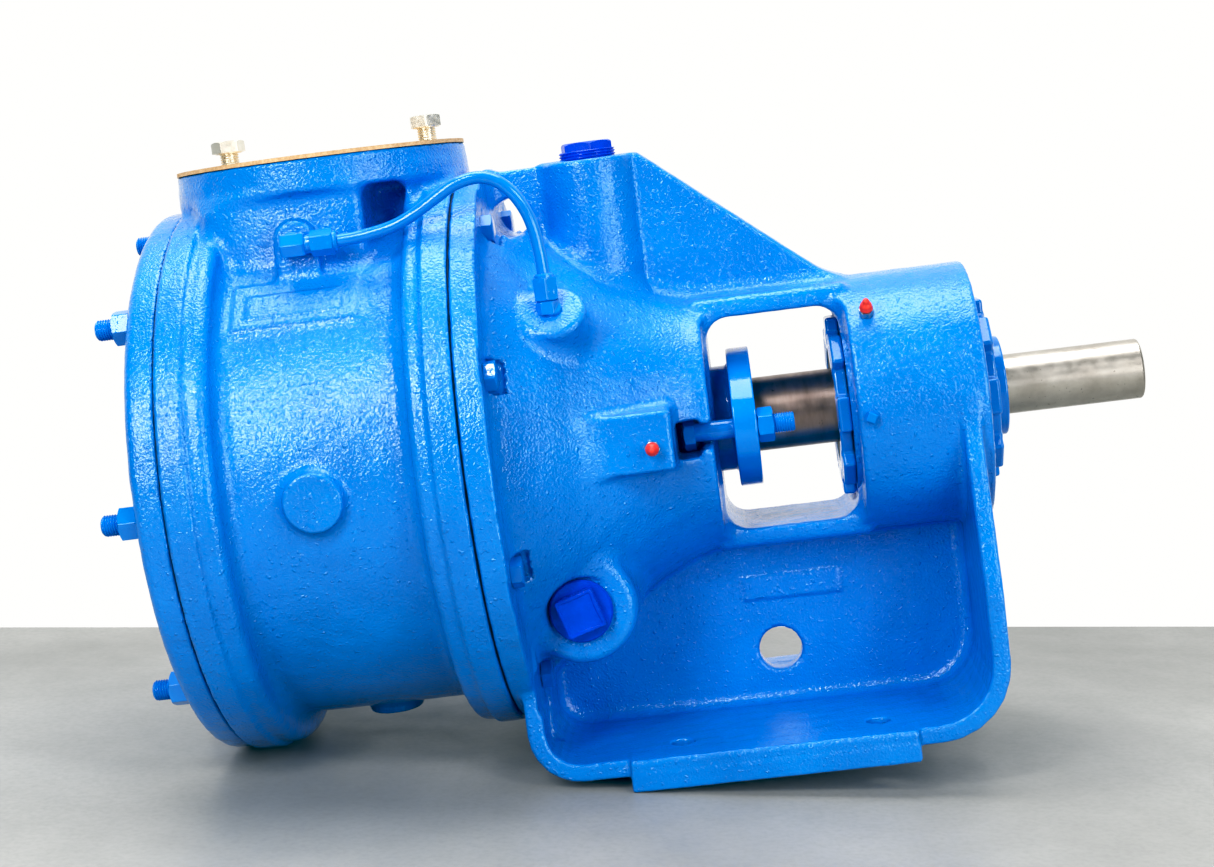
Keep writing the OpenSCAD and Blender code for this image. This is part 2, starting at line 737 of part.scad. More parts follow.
module rotor() pump_frame() color(steel) difference() {
    xcyl(rotor_x0, rotor_x1, rotor_r);
    xcyl(rotor_x0 - eps, gear_x1, rotor_tip_r);
    for (i = [0:rotor_teeth - 1]) rotate([45 + i * 360 / rotor_teeth, 0, 0]) {
        along_x(rotor_x0 - eps, gear_x1) tooth(rotor_pr, rotor_space, rotor_tip_r - 2, space_r);
        box3([rotor_x0 - eps, gear_x1], [space_r - 3, rotor_r + 5], [-7, 7]);
    }
    xcyl(gear_x1 - eps, rotor_x1 + eps, shaft_r - 2);
}

module shaft() pump_frame() color(steel) union() {
    xcyl(gear_x1 + 2, rotor_x1, shaft_r - 2);
    xcyl(rotor_x1, 384, shaft_r);
    xcyl(383, 413, seal_seat_r);
    xrev([[0, 412], [shaft_end_r, 412], [shaft_end_r, shaft_end_x - 2], [shaft_end_r - 2, shaft_end_x],
        [0, shaft_end_x]]);
}

casing();
head();
head_gasket();
casing_gasket();
head_studs();
head_nuts();
bracket();
bracket_rails();
bracket_bearing_end();
bracket_foot();
bracket_screws();
bracket_bushing();
packing_washer();
packing_rings();
lantern_ring();
gland_bolts();
bearing_housing();
bearing_outer_race();
lip_seal_inner();
lip_seal_outer();
inner_end_cap();
outer_end_cap();
housing_set_screws();
grease_fittings();
grease_fitting_caps();
flush_tube();
flush_fittings();
flush_tube_nuts();
top_plug();
near_side_plug();
far_side_plug();
top_port_cover();
top_port_bolts();
side_port_cover();
side_port_bolts();
idler_pin();
shaft();
rotor();
bearing_inner_race();
bearing_spacer();
bearing_locknut();
idler_gear();
idler_bushing();
bearing_balls();
bearing_cage();
gland();
gland_nuts();
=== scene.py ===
import json
import math

import bpy
import numpy as np
from mathutils import Matrix, Vector

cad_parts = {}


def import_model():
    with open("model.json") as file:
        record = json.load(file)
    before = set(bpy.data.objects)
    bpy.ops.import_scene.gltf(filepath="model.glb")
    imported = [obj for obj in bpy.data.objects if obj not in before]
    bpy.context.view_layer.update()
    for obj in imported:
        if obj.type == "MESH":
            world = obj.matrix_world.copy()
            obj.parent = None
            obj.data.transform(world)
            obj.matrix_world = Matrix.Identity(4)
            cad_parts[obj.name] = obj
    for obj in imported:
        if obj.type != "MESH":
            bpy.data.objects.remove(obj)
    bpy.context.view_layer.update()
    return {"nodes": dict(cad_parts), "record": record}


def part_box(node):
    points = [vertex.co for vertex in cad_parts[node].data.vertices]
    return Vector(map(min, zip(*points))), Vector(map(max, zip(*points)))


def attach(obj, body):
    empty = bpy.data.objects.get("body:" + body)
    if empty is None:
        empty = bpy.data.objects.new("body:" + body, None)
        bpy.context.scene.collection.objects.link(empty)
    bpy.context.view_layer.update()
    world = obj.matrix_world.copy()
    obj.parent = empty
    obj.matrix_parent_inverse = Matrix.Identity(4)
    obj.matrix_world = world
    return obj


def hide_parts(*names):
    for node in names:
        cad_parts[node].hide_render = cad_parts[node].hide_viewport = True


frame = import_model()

# Everything below is worked out in the pump's own frame, in millimetres: x runs along the shaft from the
# split between casing and bracket towards the drive end, z is up, and the shaft axis is at y = z = 0.
mounts = {m["name"]: m for m in frame["record"]["mounts"]}
AXIS_HEIGHT = mounts["drive_shaft"]["pos_m"][2]
ORIGIN = np.array([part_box("casing_gasket")[1][0], 0.0, AXIS_HEIGHT])


def span(node, axis):
    """A node's lowest and highest place along an axis, in the pump's frame and in millimetres."""
    low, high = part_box(node)
    return (low[axis] - ORIGIN[axis]) * 1000, (high[axis] - ORIGIN[axis]) * 1000


def half_width(node, axis):
    low, high = span(node, axis)
    return (high - low) / 2


def to_row(points):
    """Pump frame in millimetres to row frame in metres."""
    return np.asarray(points, float) / 1000 + ORIGIN


# -------- solid shapes as distance fields

def blend(a, b, r):
    """Union with a fillet of radius r."""
    round_part = np.hypot(np.maximum(r - a, 0), np.maximum(r - b, 0))
    return np.maximum(r, np.minimum(a, b)) - round_part


def carve(a, b, r=1.5):
    """a with b taken out, its new edge rounded to r."""
    return -blend(-a, b, r)


def common(a, b, r=1.5):
    """What a and b share, its edge rounded to r."""
    return -blend(-a, -b, r)


def block(p, low, high, r=2.0):
    """A box between two corners, its edges rounded to r."""
    low, high = np.array(low, float), np.array(high, float)
    q = np.abs(p - (low + high) / 2) - ((high - low) / 2 - r)
    return np.linalg.norm(np.maximum(q, 0), axis=1) + np.minimum(q.max(axis=1), 0) - r


def capped(radial, along, r):
    """A round or prismatic solid from its outline's distance and its distance past the end planes."""
    a, b = radial + r, along + r
    return np.minimum(np.maximum(a, b), 0) + np.hypot(np.maximum(a, 0), np.maximum(b, 0)) - r


def rod(p, axis, centre, radius, low, high, r=1.0):
    """A cylinder along a main axis. centre holds the two other coordinates, in x, y, z order."""
    u, v = [k for k in range(3) if k != axis]
    radial = np.hypot(p[:, u] - centre[0], p[:, v] - centre[1]) - radius
    return capped(radial, np.abs(p[:, axis] - (low + high) / 2) - (high - low) / 2, r)


def drum(p, radius, low, high, r=1.0):
    """A cylinder about the shaft axis."""
    return rod(p, 0, (0, 0), radius, low, high, r)


def outline(u, v, points):
    """Signed distance to a closed polygon in the plane of u and v."""
    pts = np.array(points, float)
    best = np.full(u.shape, np.inf)
    sign = np.ones(u.shape)
    for (ax, ay), (bx, by) in zip(pts, np.roll(pts, 1, axis=0)):
        ex, ey = bx - ax, by - ay
        wx, wy = u - ax, v - ay
        t = np.clip((wx * ex + wy * ey) / (ex * ex + ey * ey), 0, 1)
        best = np.minimum(best, (wx - ex * t) ** 2 + (wy - ey * t) ** 2)
        above, below, left = v >= ay, v < by, ex * wy > ey * wx
        flip = (above & below & left) | (~above & ~below & ~left)
        sign = np.where(flip, -sign, sign)
    return sign * np.sqrt(best)


def prism(p, axis, points, low, high, r=2.0):
    """A polygon in the two other axes, in x, y, z order, stretched along an axis."""
    u, v = [k for k in range(3) if k != axis]
    edge = outline(p[:, u], p[:, v], points)
    return capped(edge, np.abs(p[:, axis] - (low + high) / 2) - (high - low) / 2, r)


def radius_field(p, curve, low, high, r):
    """A solid of revolution about the shaft whose radius follows a curve of (x, radius) points."""
    curve = np.array(curve, float)
    slope = np.gradient(curve[:, 1], curve[:, 0])
    lean = 1 / np.sqrt(1 + np.interp(p[:, 0], curve[:, 0], slope) ** 2)
    radial = (np.hypot(p[:, 1], p[:, 2]) - np.interp(p[:, 0], curve[:, 0], curve[:, 1])) * lean
    return capped(radial, np.abs(p[:, 0] - (low + high) / 2) - (high - low) / 2, r)


def lathe_field(p, points):
    """A profile of (x, radius) turned about the shaft axis."""
    return outline(p[:, 0], np.hypot(p[:, 1], p[:, 2]), points)


def turned(p, degrees):
    """Points as a solid turned by this angle about the shaft would see them."""
    c, s = math.cos(math.radians(degrees)), math.sin(math.radians(degrees))
    return np.column_stack([p[:, 0], c * p[:, 1] + s * p[:, 2], c * p[:, 2] - s * p[:, 1]])


def arc(cx, cy, r, start, end, n=6):
    """Points along an arc between two angles in degrees."""
    angles = np.radians(np.linspace(start, end, n + 1))
    return [(cx + r * math.cos(a), cy + r * math.sin(a)) for a in angles]


def smooth_path(points, per_span=6):
    """A Catmull-Rom curve through the points."""
    pts = np.array(points, float)
    ext = np.vstack([2 * pts[0] - pts[1], pts, 2 * pts[-1] - pts[-2]])
    out = []
    for i in range(1, len(ext) - 2):
        a, b, c, d = ext[i - 1:i + 3]
        for t in np.arange(per_span) / per_span:
            out.append(0.5 * (2 * b + (c - a) * t + (2 * a - 5 * b + 4 * c - d) * t ** 2
                              + (3 * b - a - 3 * c + d) * t ** 3))
    return np.array(out + [ext[-2]])


rng = np.random.default_rng(7)
WAVES = 48
wave_dirs = rng.normal(size=(WAVES, 3))
wave_dirs /= np.linalg.norm(wave_dirs, axis=1)[:, None]
wave_dirs *= (2 * math.pi / rng.uniform(9, 30, WAVES))[:, None]
wave_phase = rng.uniform(0, 2 * math.pi, WAVES)
CAST_RELIEF = 0.10          # height of a sand casting's slow unevenness


def cast_relief(p):
    """A sand casting's unevenness: slow waves in many directions."""
    return np.sin(p @ wave_dirs.T + wave_phase).sum(axis=1) * CAST_RELIEF * math.sqrt(2 / WAVES)


CORNERS = np.array([(i, j, k) for i in (0, 1) for j in (0, 1) for k in (0, 1)])
EDGES = [(a, b) for a in range(8) for b in range(a + 1, 8) if np.abs(CORNERS[a] - CORNERS[b]).sum() == 1]
BLOCK = 8                   # grid cells along each side of a coarse block


def sample(field, low, step, cells):
    """The field on a grid of cells + 1 points a side, in full only near its surface."""
    blocks = -(-cells // BLOCK)
    size = BLOCK * step
    grid = np.stack(np.meshgrid(*[np.arange(n) for n in blocks], indexing="ij"), -1).reshape(-1, 3)
    centre_value = field(low + (grid + 0.5) * size)
    values = np.where(centre_value < 0, -size, size).astype(np.float32).reshape(blocks)
    for axis in range(3):
        values = np.repeat(values, BLOCK, axis=axis)
    values = np.pad(values, ((0, 1),) * 3, mode="edge")
    near = grid[np.abs(centre_value) < 1.3 * size]
    local = np.stack(np.meshgrid(*[np.arange(BLOCK + 1)] * 3, indexing="ij"), -1).reshape(-1, 3)
    for part in np.array_split(near, max(1, len(near) // 400)):
        index = (part[:, None, :] * BLOCK + local[None]).reshape(-1, 3)
        values[tuple(index.T)] = field(low + index * step)
    return values


def surface_net(values, low, step):
    """Vertices and quads of the zero surface of a sampled field."""
    inside = values < 0
    part = [inside[i:inside.shape[0] - 1 + i, j:inside.shape[1] - 1 + j, k:inside.shape[2] - 1 + k]
            for i, j, k in CORNERS]
    count = sum(c.astype(np.uint8) for c in part)
    cells = np.argwhere((count > 0) & (count < 8))
    corner = np.stack([values[tuple((cells + c).T)] for c in CORNERS], 1)
    total, hits = np.zeros((len(cells), 3)), np.zeros(len(cells))
    for a, b in EDGES:
        cross = (corner[:, a] < 0) != (corner[:, b] < 0)
        t = corner[cross, a] / (corner[cross, a] - corner[cross, b])
        total[cross] += CORNERS[a] + t[:, None] * (CORNERS[b] - CORNERS[a])
        hits[cross] += 1
    points = low + (cells + total / hits[:, None]) * step
    number = np.full(count.shape, -1, np.int32)
    number[tuple(cells.T)] = np.arange(len(cells))
    quads = []
    for axis in range(3):
        u, v = (axis + 1) % 3, (axis + 2) % 3
        a = np.take(inside, range(inside.shape[axis] - 1), axis)
        b = np.take(inside, range(1, inside.shape[axis]), axis)
        at = np.argwhere(a != b)
        at = at[(at[:, u] > 0) & (at[:, v] > 0) & (at[:, u] < count.shape[u]) & (at[:, v] < count.shape[v])]
        outward = a[tuple(at.T)]
        ring = []
        for du, dv in ((-1, -1), (0, -1), (0, 0), (-1, 0)):
            cell = at.copy()
            cell[:, u] += du
            cell[:, v] += dv
            ring.append(number[tuple(cell.T)])
        ring = np.stack(ring, 1)
        ring[~outward] = ring[~outward][:, ::-1]
        quads.append(ring)
    return points, np.concatenate(quads)


def gradient(field, p, h):
    """The field's value and unit slope at each point."""
    offsets = np.array([(1, -1, -1), (-1, -1, 1), (-1, 1, -1), (1, 1, 1)]) * h
    values = [field(p + o) for o in offsets]
    slope = sum(v[:, None] * o for v, o in zip(values, offsets / (4 * h * h)))
    return sum(values) / 4, slope


def mesh_object(name, points, faces, normals=None, smooth=True):
    """An object from points in the pump's frame and faces with equal numbers of sides."""
    mesh = bpy.data.meshes.new(name)
    faces = np.asarray(faces, np.int32)
    sides = faces.shape[1]
    mesh.vertices.add(len(points))
    mesh.vertices.foreach_set("co", to_row(points).astype(np.float32).ravel())
    mesh.loops.add(faces.size)
    mesh.loops.foreach_set("vertex_index", faces.ravel())
    mesh.polygons.add(len(faces))
    mesh.polygons.foreach_set("loop_start", np.arange(0, faces.size, sides, dtype=np.int32))
    mesh.polygons.foreach_set("use_smooth", np.full(len(faces), smooth))
    mesh.update(calc_edges=True)
    mesh.validate()
    if normals is not None:
        mesh.normals_split_custom_set_from_vertices(normals)
    piece = bpy.data.objects.new(name, mesh)
    bpy.context.scene.collection.objects.link(piece)
    return piece


def cast_piece(name, field, low, high, step, relief=cast_relief):
    """A solid from its distance field, as a mesh whose vertices and normals lie on the field's surface."""
    low, high = np.array(low, float) - step * 1.37, np.array(high, float) + step * 1.37
    cells = np.ceil((high - low) / step).astype(int)
    values = sample(field, low, step, cells)
    points, faces = surface_net(values, low, step)
    full = (lambda p: field(p) - relief(p)) if relief else field
    for _ in range(3):
        value, slope = gradient(full, points, 0.25 * step)
        shift = value[:, None] * slope / np.maximum((slope ** 2).sum(axis=1), 0.25)[:, None]
        points = points - np.clip(shift, -step, step)
    normals = gradient(full, points, 0.3 * step)[1]
    normals /= np.maximum(np.linalg.norm(normals, axis=1), 1e-9)[:, None]
    return mesh_object(name, points, faces, normals)


# -------- castings

HEAD_X1, CASING_X0 = span("head_gasket", 0)
CASING_X1 = span("casing_gasket", 0)[0]
HEAD_X0 = HEAD_X1 - 23.2
FLANGE_R = half_width("casing_gasket", 1) + 4
BARREL_R = 199.5
BAND = 20                   # width of one band of a casing flange
JOINT = 0.25                # how far a painted face stands back from its gasket
PORT_FACE = span("top_port_cover", 2)[0]
PORT_R = half_width("top_port_cover", 0)
PORT_X = span("top_port_cover", 0)[0] + PORT_R
PORT_BORE_R = 51
PORT_PCR = 90
EIGHTHS = [45 * i for i in range(8)]          # angles in degrees
BETWEEN_EIGHTHS = [22.5 + a for a in EIGHTHS]
FLUSH_X, FLUSH_Z = -117.5, 187
IDLER = (sum(span("idler_pin", 1)) / 2,) * 2
PIN_R = 25
ROTOR_X1 = span("rotor", 0)[1]
GEAR_X1 = span("idler_gear", 0)[1]


def port(p, d):
    """Adds the top port's chest, neck and flange to the casing d."""
    slope = [(-151, 124), (-116, 149), (-111.5, 158), (-108, 226)]
    chest = prism(p, 0, slope + [(-y, z) for y, z in slope[::-1]] + [(100, 60), (-100, 60)], -203, -66, 7)
    reach = 123 + 1.3 * np.maximum(168 - p[:, 2], 0)
    chest = common(chest, np.hypot(p[:, 0] - PORT_X, p[:, 1]) - reach, 14)
    neck = prism(p, 0, [(-44, 226), (44, 226), (72, 140), (-72, 140)], -84, -30, 6)
    wall = rod(p, 2, (PORT_X, 0), PORT_R - 4, 140, 236, 3)
    neck = blend(neck, common(wall, -36 - p[:, 0], 6), 8)
    neck = blend(neck, common(wall, p[:, 0] + 186, 6), 14)
    d = blend(d, blend(neck, chest, 7), 10)
    return blend(d, rod(p, 2, (PORT_X, 0), PORT_R, PORT_FACE - 25, PORT_FACE, 2.5), 9)


def port_holes(p, d):
    """Takes out the top port's bore and bolt holes."""
    d = carve(d, rod(p, 2, (PORT_X, 0), PORT_BORE_R, 120, PORT_FACE + 9, 0))
    for a in np.radians(BETWEEN_EIGHTHS):
        centre = (PORT_X + PORT_PCR * math.cos(a), PORT_PCR * math.sin(a))
        d = carve(d, rod(p, 2, centre, 8, PORT_FACE - 26, PORT_FACE + 9, 0), 0.5)
    return d


def casing(p):
    """The casing with its two flanges, both ports and the plain bosses."""
    d = drum(p, BARREL_R, CASING_X0 + 2, CASING_X1 - 2)
    for x0, x1, r, edge, fillet in ((CASING_X0 + 5, CASING_X0 + 39, FLANGE_R - 3, 9, 13),
                                    (CASING_X1 - 36, CASING_X1 - 5, FLANGE_R - 3, 7, 13),
                                    (CASING_X0 + JOINT, CASING_X0 + BAND, FLANGE_R, 0.8, 5),
                                    (CASING_X1 - BAND, CASING_X1 - JOINT, FLANGE_R, 0.8, 5)):
        d = blend(d, drum(p, r, x0, x1, edge), fillet)
    side = turned(p, -90)
    d = port(side, port(p, d))
    for axis in (1, 2):
        centre = (-114.6, 0)
        d = blend(d, rod(p, axis, centre, 22.5, -209.3, -180, 2.5), 8)
    arch = np.minimum(rod(p, 1, (FLUSH_X, FLUSH_Z), 16.5, -124, -90, 2),
                      block(p, (FLUSH_X - 16.8, -124, 130), (FLUSH_X + 16.8, -90, FLUSH_Z), 2))
    d = blend(d, arch, 3 + 8 * np.clip((172 - p[:, 2]) / 25, 0, 1))
    # a sloped panel under the flush boss, with a plain raised pad on it
    along = 0.743 * (p[:, 1] + 154) + 0.669 * (p[:, 2] - 126.5)
    out = -0.669 * (p[:, 1] + 154) + 0.743 * (p[:, 2] - 126.5)
    sloped = np.column_stack([p[:, 0], along, out])
    d = blend(d, block(sloped, (-168, 0, -8), (-74, 44, 3.5), 1.5), 3)
    d = blend(d, block(sloped, (-158, 8, -8), (-84, 31, 5.2), 1.2), 1)
    d = carve(d, drum(p, 150.4, CASING_X0 - 9, ROTOR_X1 + 0.4, 0))
    d = carve(d, drum(p, 120, ROTOR_X1 - 9, CASING_X1 + 9, 0))
    return port_holes(side, port_holes(p, d))


def head(p):
    """The round head with the idler pin's boss outside and the crescent inside."""
    rim = FLANGE_R - 3
    edge = arc(HEAD_X0 + 8, rim - 8, 8, 90, 180)
    face = HEAD_X1 - JOINT
    d = lathe_field(p, [(face, -30), (face, rim - 0.8), (face - 0.8, rim)] + edge + [(HEAD_X0, -30)])
    d = blend(d, drum(p, 158, HEAD_X0 - 4, HEAD_X0 + 4, 2.5), 5)
    d = blend(d, rod(p, 0, IDLER, 52, HEAD_X0 - 9, HEAD_X0 + 4, 2), 5)
    crescent = carve(drum(p, 98, HEAD_X1 - 3, GEAR_X1), rod(p, 0, IDLER, 85.6, HEAD_X1, 0, 0))
    crescent = common(crescent, (p[:, 1] + p[:, 2]) * math.sqrt(0.5) + 8, 1)
    d = np.minimum(d, crescent)
    return carve(d, rod(p, 0, IDLER, PIN_R, HEAD_X0 - 20, HEAD_X1 + 9, 0), 0.6)


BRACKET_X1 = 390
HOUSING_R = 103.4
WINDOW = (180, 285, 85)     # ends along the shaft and half the height
WINDOW_CORNER = 18
RAIL_HALF = 47
BELL = smooth_path([(0, 200), (16, 196), (27, 188), (45, 174), (60, 163), (75, 152), (90, 142.5), (110, 130.5),
                    (125, 122), (140, 114.5), (155, 108.5), (170, 104.6), (190, HOUSING_R)], 4)
BASE_Z = -AXIS_HEIGHT * 1000
PLATE_Z = BASE_Z + 11
FOOT_X0, FOOT_X1 = 8, 380.4
FOOT_HALF = 136
PLATE_T = 14
PAD_X0, PAD_X1 = 84, 306    # the machined pads under the foot
CORNER_L, CORNER_R = 40, 58
TOP_BOSS_X, TOP_BOSS_Z = 102.5, span("top_plug", 2)[1] - 14
JACKET = (61.5, -118.5)
JACKET_FACE = 124
FLUSH_IN = np.array([70, -130, 113])
FLUSH_AXIS = np.array([0, -math.sqrt(0.5), math.sqrt(0.5)])
RELIEF_HOLE = (37, 184)     # x and z of the hole under the top rib
WEB_HOLE = (209.7, -194)    # x and z of the hole in the foot's web
SCREW_PCR = 192
SCREW_SEAT = 19.2


def foot_outline(inset, top):
    """The foot's side view as a closed line, moved in by inset and cut off at top."""
    left = arc(FOOT_X0 + CORNER_L, PLATE_Z + CORNER_L, CORNER_L - inset, 180, 270)
    right = arc(FOOT_X1 - CORNER_R, PLATE_Z + CORNER_R, CORNER_R - inset, 270, 360)
    return [(FOOT_X0 + inset, top)] + left + right + [(FOOT_X1 - inset, top)]


def foot(p):
    """A bent band with sloped shoulders round a thin upright web."""
    band = carve(prism(p, 1, foot_outline(0, 30), -FOOT_HALF, FOOT_HALF, 3),
                 prism(p, 1, foot_outline(PLATE_T, 60), -200, 200, 0), 3)
    shoulders = [(-FOOT_HALF, -290), (-FOOT_HALF, -143), (-101, 8), (-60, 30)]
    band = common(band, prism(p, 0, shoulders + [(-y, z) for y, z in shoulders[::-1]], 0, 390, 3), 3)
    band = common(band, p[:, 2] + 100 - (p[:, 0] > 200) * 200, 0.1)
    web = prism(p, 1, foot_outline(2, -60), -8, 8, 0)
    web = blend(web, block(p, (184, -9.6, -152), (265, 0, -132), 1.4), 1.4)
    return blend(band, web, 10)


def flush_rod(p, radius, low, high, r):
    """A cylinder along the slanted axis of the flush boss, measured from the boss's face."""
    reach = (p - FLUSH_IN) @ FLUSH_AXIS
    radial = np.sqrt(np.maximum(((p - FLUSH_IN) ** 2).sum(axis=1) - reach ** 2, 0)) - radius
    return capped(radial, np.abs(reach - (low + high) / 2) - (high - low) / 2, r)


def ribs_and_bosses(p, mirrored, d):
    """Adds the top rib with its plug boss, then the jacket, flush and grease bosses."""
    rib_side = [(TOP_BOSS_X, 60), (TOP_BOSS_X, TOP_BOSS_Z), (143, TOP_BOSS_Z), (288, 103), (288, 90), (150, 90)]
    shelf_z = TOP_BOSS_Z - 1
    shelf_side = [(6, 150), (6, 206), (24, shelf_z), (TOP_BOSS_X, shelf_z), (TOP_BOSS_X, 120)]
    tower = blend(rod(p, 2, (TOP_BOSS_X, 0), 40, 60, TOP_BOSS_Z, 2.5), prism(p, 1, rib_side, -19, 19, 3), 3)
    tower = blend(tower, prism(p, 1, shelf_side, -14, 14, 2), 6)
    d = blend(d, tower, 13)
    d = blend(d, rod(mirrored, 1, JACKET, 43.5, -JACKET_FACE, -40, 9), 12)
    d = blend(d, flush_rod(p, 25, -50, 0, 5), 10)
    return blend(d, block(p, (72, -143, -17), (148, -90, 29), 3), 7)


def window_hole(p):
    """The opening in which the gland and the shaft show."""
    x0, x1, z = WINDOW[0] + WINDOW_CORNER, WINDOW[1] - WINDOW_CORNER, WINDOW[2] - WINDOW_CORNER
    corners = ((x0, -z, 180), (x1, -z, 270), (x1, z, 0), (x0, z, 90))
    hole = [point for x, z, start in corners for point in arc(x, z, WINDOW_CORNER, start, start + 90)]
    return prism(p, 1, hole, -200, 200, 0)


def tool_pockets(p, mirrored, d):
    """Room for a wrench at the gland bolts' heads and round the bracket screws."""
    d = carve(d, block(mirrored, (149, -200, -15), (167, -56, 14), 2.5), 2.5)
    d = carve(d, block(mirrored, (160, -200, -10), (190, -61, 10), 2), 2.5)
    for a in BETWEEN_EIGHTHS:
        d = carve(d, block(turned(p, a), (SCREW_SEAT, SCREW_PCR - 11.6, -13), (31.8, 245, 13), 2), 1.5)
    lowest = math.radians(67.5)
    y, z = -SCREW_PCR * math.cos(lowest), -SCREW_PCR * math.sin(lowest)
    return carve(d, block(mirrored, (SCREW_SEAT, -170, z - 17), (48, y + 16, z + 17), 5), 3)


def plug_and_bolt_holes(p, mirrored, d):
    """Takes out the cast holes, the foot's bolt holes and the plugs' tapped holes."""
    d = carve(d, rod(mirrored, 1, JACKET, 26, -170, -JACKET_FACE, 0), 2.5)
    d = carve(d, rod(p, 1, RELIEF_HOLE, 15, -60, 60, 0), 3)
    d = carve(d, rod(p, 1, WEB_HOLE, 17.5, -40, 40, 0), 2)
    foot_bolts = mounts["foot_bolts"]["dims"]
    for x in (-1, 1):
        centre = ((x * foot_bolts["spacing_x_mm"] / 2) - ORIGIN[0] * 1000, -foot_bolts["spacing_y_mm"] / 2)
        d = carve(d, rod(mirrored, 2, centre, foot_bolts["hole_r_mm"], BASE_Z - 9, PLATE_Z + 40, 0), 1)
    d = carve(d, rod(p, 2, (TOP_BOSS_X, 0), 17, TOP_BOSS_Z - 24, TOP_BOSS_Z + 9, 0), 1)
    return carve(d, rod(mirrored, 1, JACKET, 17, -JACKET_FACE - 9, -JACKET_FACE + 24, 0), 1)


def bracket(p):
    """Bell, bearing housing and foot in one casting. mirrored folds its far half onto the near one."""
    mirrored = np.column_stack([p[:, 0], -np.abs(p[:, 1]), p[:, 2]])
    d = blend(radius_field(p, BELL, 0, BRACKET_X1, 3), drum(p, 222, JOINT, 20, 0.8), 5)
    d = carve(d, block(mirrored, (WINDOW[0] - 3, -200, -130), (WINDOW[1] + 4, -RAIL_HALF, 130), 15), 3)
    for z0, z1 in ((WINDOW[2] - 4, 101), (-101, -WINDOW[2] + 4)):
        d = blend(d, block(p, (168, -RAIL_HALF, z0), (296, RAIL_HALF, z1), 8), 4)
    d = blend(d, foot(p), 5.5)
    pad_low = (PAD_X0, -FOOT_HALF - 4, BASE_Z)
    d = blend(d, block(mirrored, pad_low, (PAD_X1, -58, PLATE_Z + 4), 1.5), 1)
    d = blend(d, block(mirrored, pad_low, (PAD_X1, -FOOT_HALF + 20, PLATE_Z + PLATE_T), 1.5), 1)
    d = ribs_and_bosses(p, mirrored, d)
    d = blend(d, drum(p, 119.8, ROTOR_X1 + 2, 5, 0), 0.5)
    d = carve(d, window_hole(p), 3.5)
    d = carve(d, drum(p, 40, -90, 60, 0))
    d = carve(d, drum(p, 43.2, 57, 200, 0), 1)
    d = carve(d, drum(p, 78, WINDOW[1] - 5, 400, 0), 1.5)
    d = tool_pockets(p, mirrored, d)
    return plug_and_bolt_holes(p, mirrored, d)


# -------- smaller castings

GLAND_X0 = span("gland", 0)[1] - 18.5
GLAND_X1 = span("gland", 0)[1]
GLAND_BOLT_Y = 70
LENS_R, LENS_HALF = 106.5, 56


def gland(p):
    """The lens-shaped gland flange with its sleeve and bolt holes."""
    lens = np.full(len(p), -1e3)
    for side in (-1, 1):
        lens = np.maximum(lens, np.hypot(p[:, 1], p[:, 2] - side * (LENS_R - LENS_HALF)) - LENS_R)
    lens = common(lens, np.hypot(p[:, 1], p[:, 2]) - GLAND_BOLT_Y - 15, 5)
    d = capped(lens, np.abs(p[:, 0] - (GLAND_X0 + GLAND_X1) / 2) - (GLAND_X1 - GLAND_X0) / 2, 1.6)
    d = blend(d, drum(p, 42.8, span("gland", 0)[0], GLAND_X0 + 3, 1), 3)
    d = carve(d, drum(p, 30.4, GLAND_X0 - 60, GLAND_X1 + 9, 0), 1)
    for side in (-1, 1):
        d = carve(d, rod(p, 0, (side * GLAND_BOLT_Y, 0), 9, GLAND_X0 - 9, GLAND_X1 + 9, 0), 0.8)
    return d


def lugged(p, x0, x1, bore):
    """A bearing end cap: a ring with eight lugs for the tool that turns it."""
    d = drum(p, 62, x0, x1, 2)
    for a in EIGHTHS:
        q = turned(p, a)
        d = blend(d, block(q, (x0, 50, -14), (x1, 72, 14), 2.4), 2.5)
    return carve(d, drum(p, bore, x0 - 20, x1 + 30, 0), 0.8)


def inner_cap(p):
    x0, x1 = span("inner_end_cap", 0)
    return lugged(p, x0, x1, 46)


def outer_cap(p):
    x0, hub_x = span("outer_end_cap", 0)
    ring = lugged(p, x0, x0 + 10, 33)
    hub = carve(drum(p, 40, x0 + 5, hub_x, 1.6), drum(p, 33, x0, hub_x + 9, 0), 0.8)
    return blend(ring, hub, 3)


TUBE_Y = span("flush_tube", 1)[0] + 5.8
TUBE_Z = 184.6
CONNECTOR = (67, -130)
CONNECTOR_Z = 110


def hex_field(u, v, across):
    """Distance to a hexagon with a flat facing along u."""
    a = np.abs(u)
    b = np.abs(0.5 * u + 0.866 * v)
    c = np.abs(0.5 * u - 0.866 * v)
    return np.maximum(np.maximum(a, b), c) - across / 2


def fittings(p):
    """The forged elbow on the casing and the straight connector on the bracket."""
    stub = rod(p, 1, (FLUSH_X, FLUSH_Z), 8, -134, -124, 0.6)
    body = hex_field(p[:, 2] - FLUSH_Z + 2, p[:, 1] + 132, 17)
    elbow = capped(body, np.abs(p[:, 0] - FLUSH_X - 0.5) - 9.5, 2.2)
    elbow = blend(elbow, stub, 1.5)
    nose = rod(p, 0, (TUBE_Y, TUBE_Z), 7, FLUSH_X + 5, -96, 0.5)
    elbow = blend(elbow, nose, 0.8)
    u, v = p[:, 0] - CONNECTOR[0], p[:, 1] - CONNECTOR[1]
    body = capped(hex_field(v, u, 16), np.abs(p[:, 2] - CONNECTOR_Z - 5) - 5, 1)
    body = blend(body, rod(p, 2, CONNECTOR, 7, CONNECTOR_Z, CONNECTOR_Z + 18, 0.5), 0.6)
    return np.minimum(elbow, blend(body, flush_rod(p, 7, -11, 3, 1), 2))


# -------- turned and swept pieces

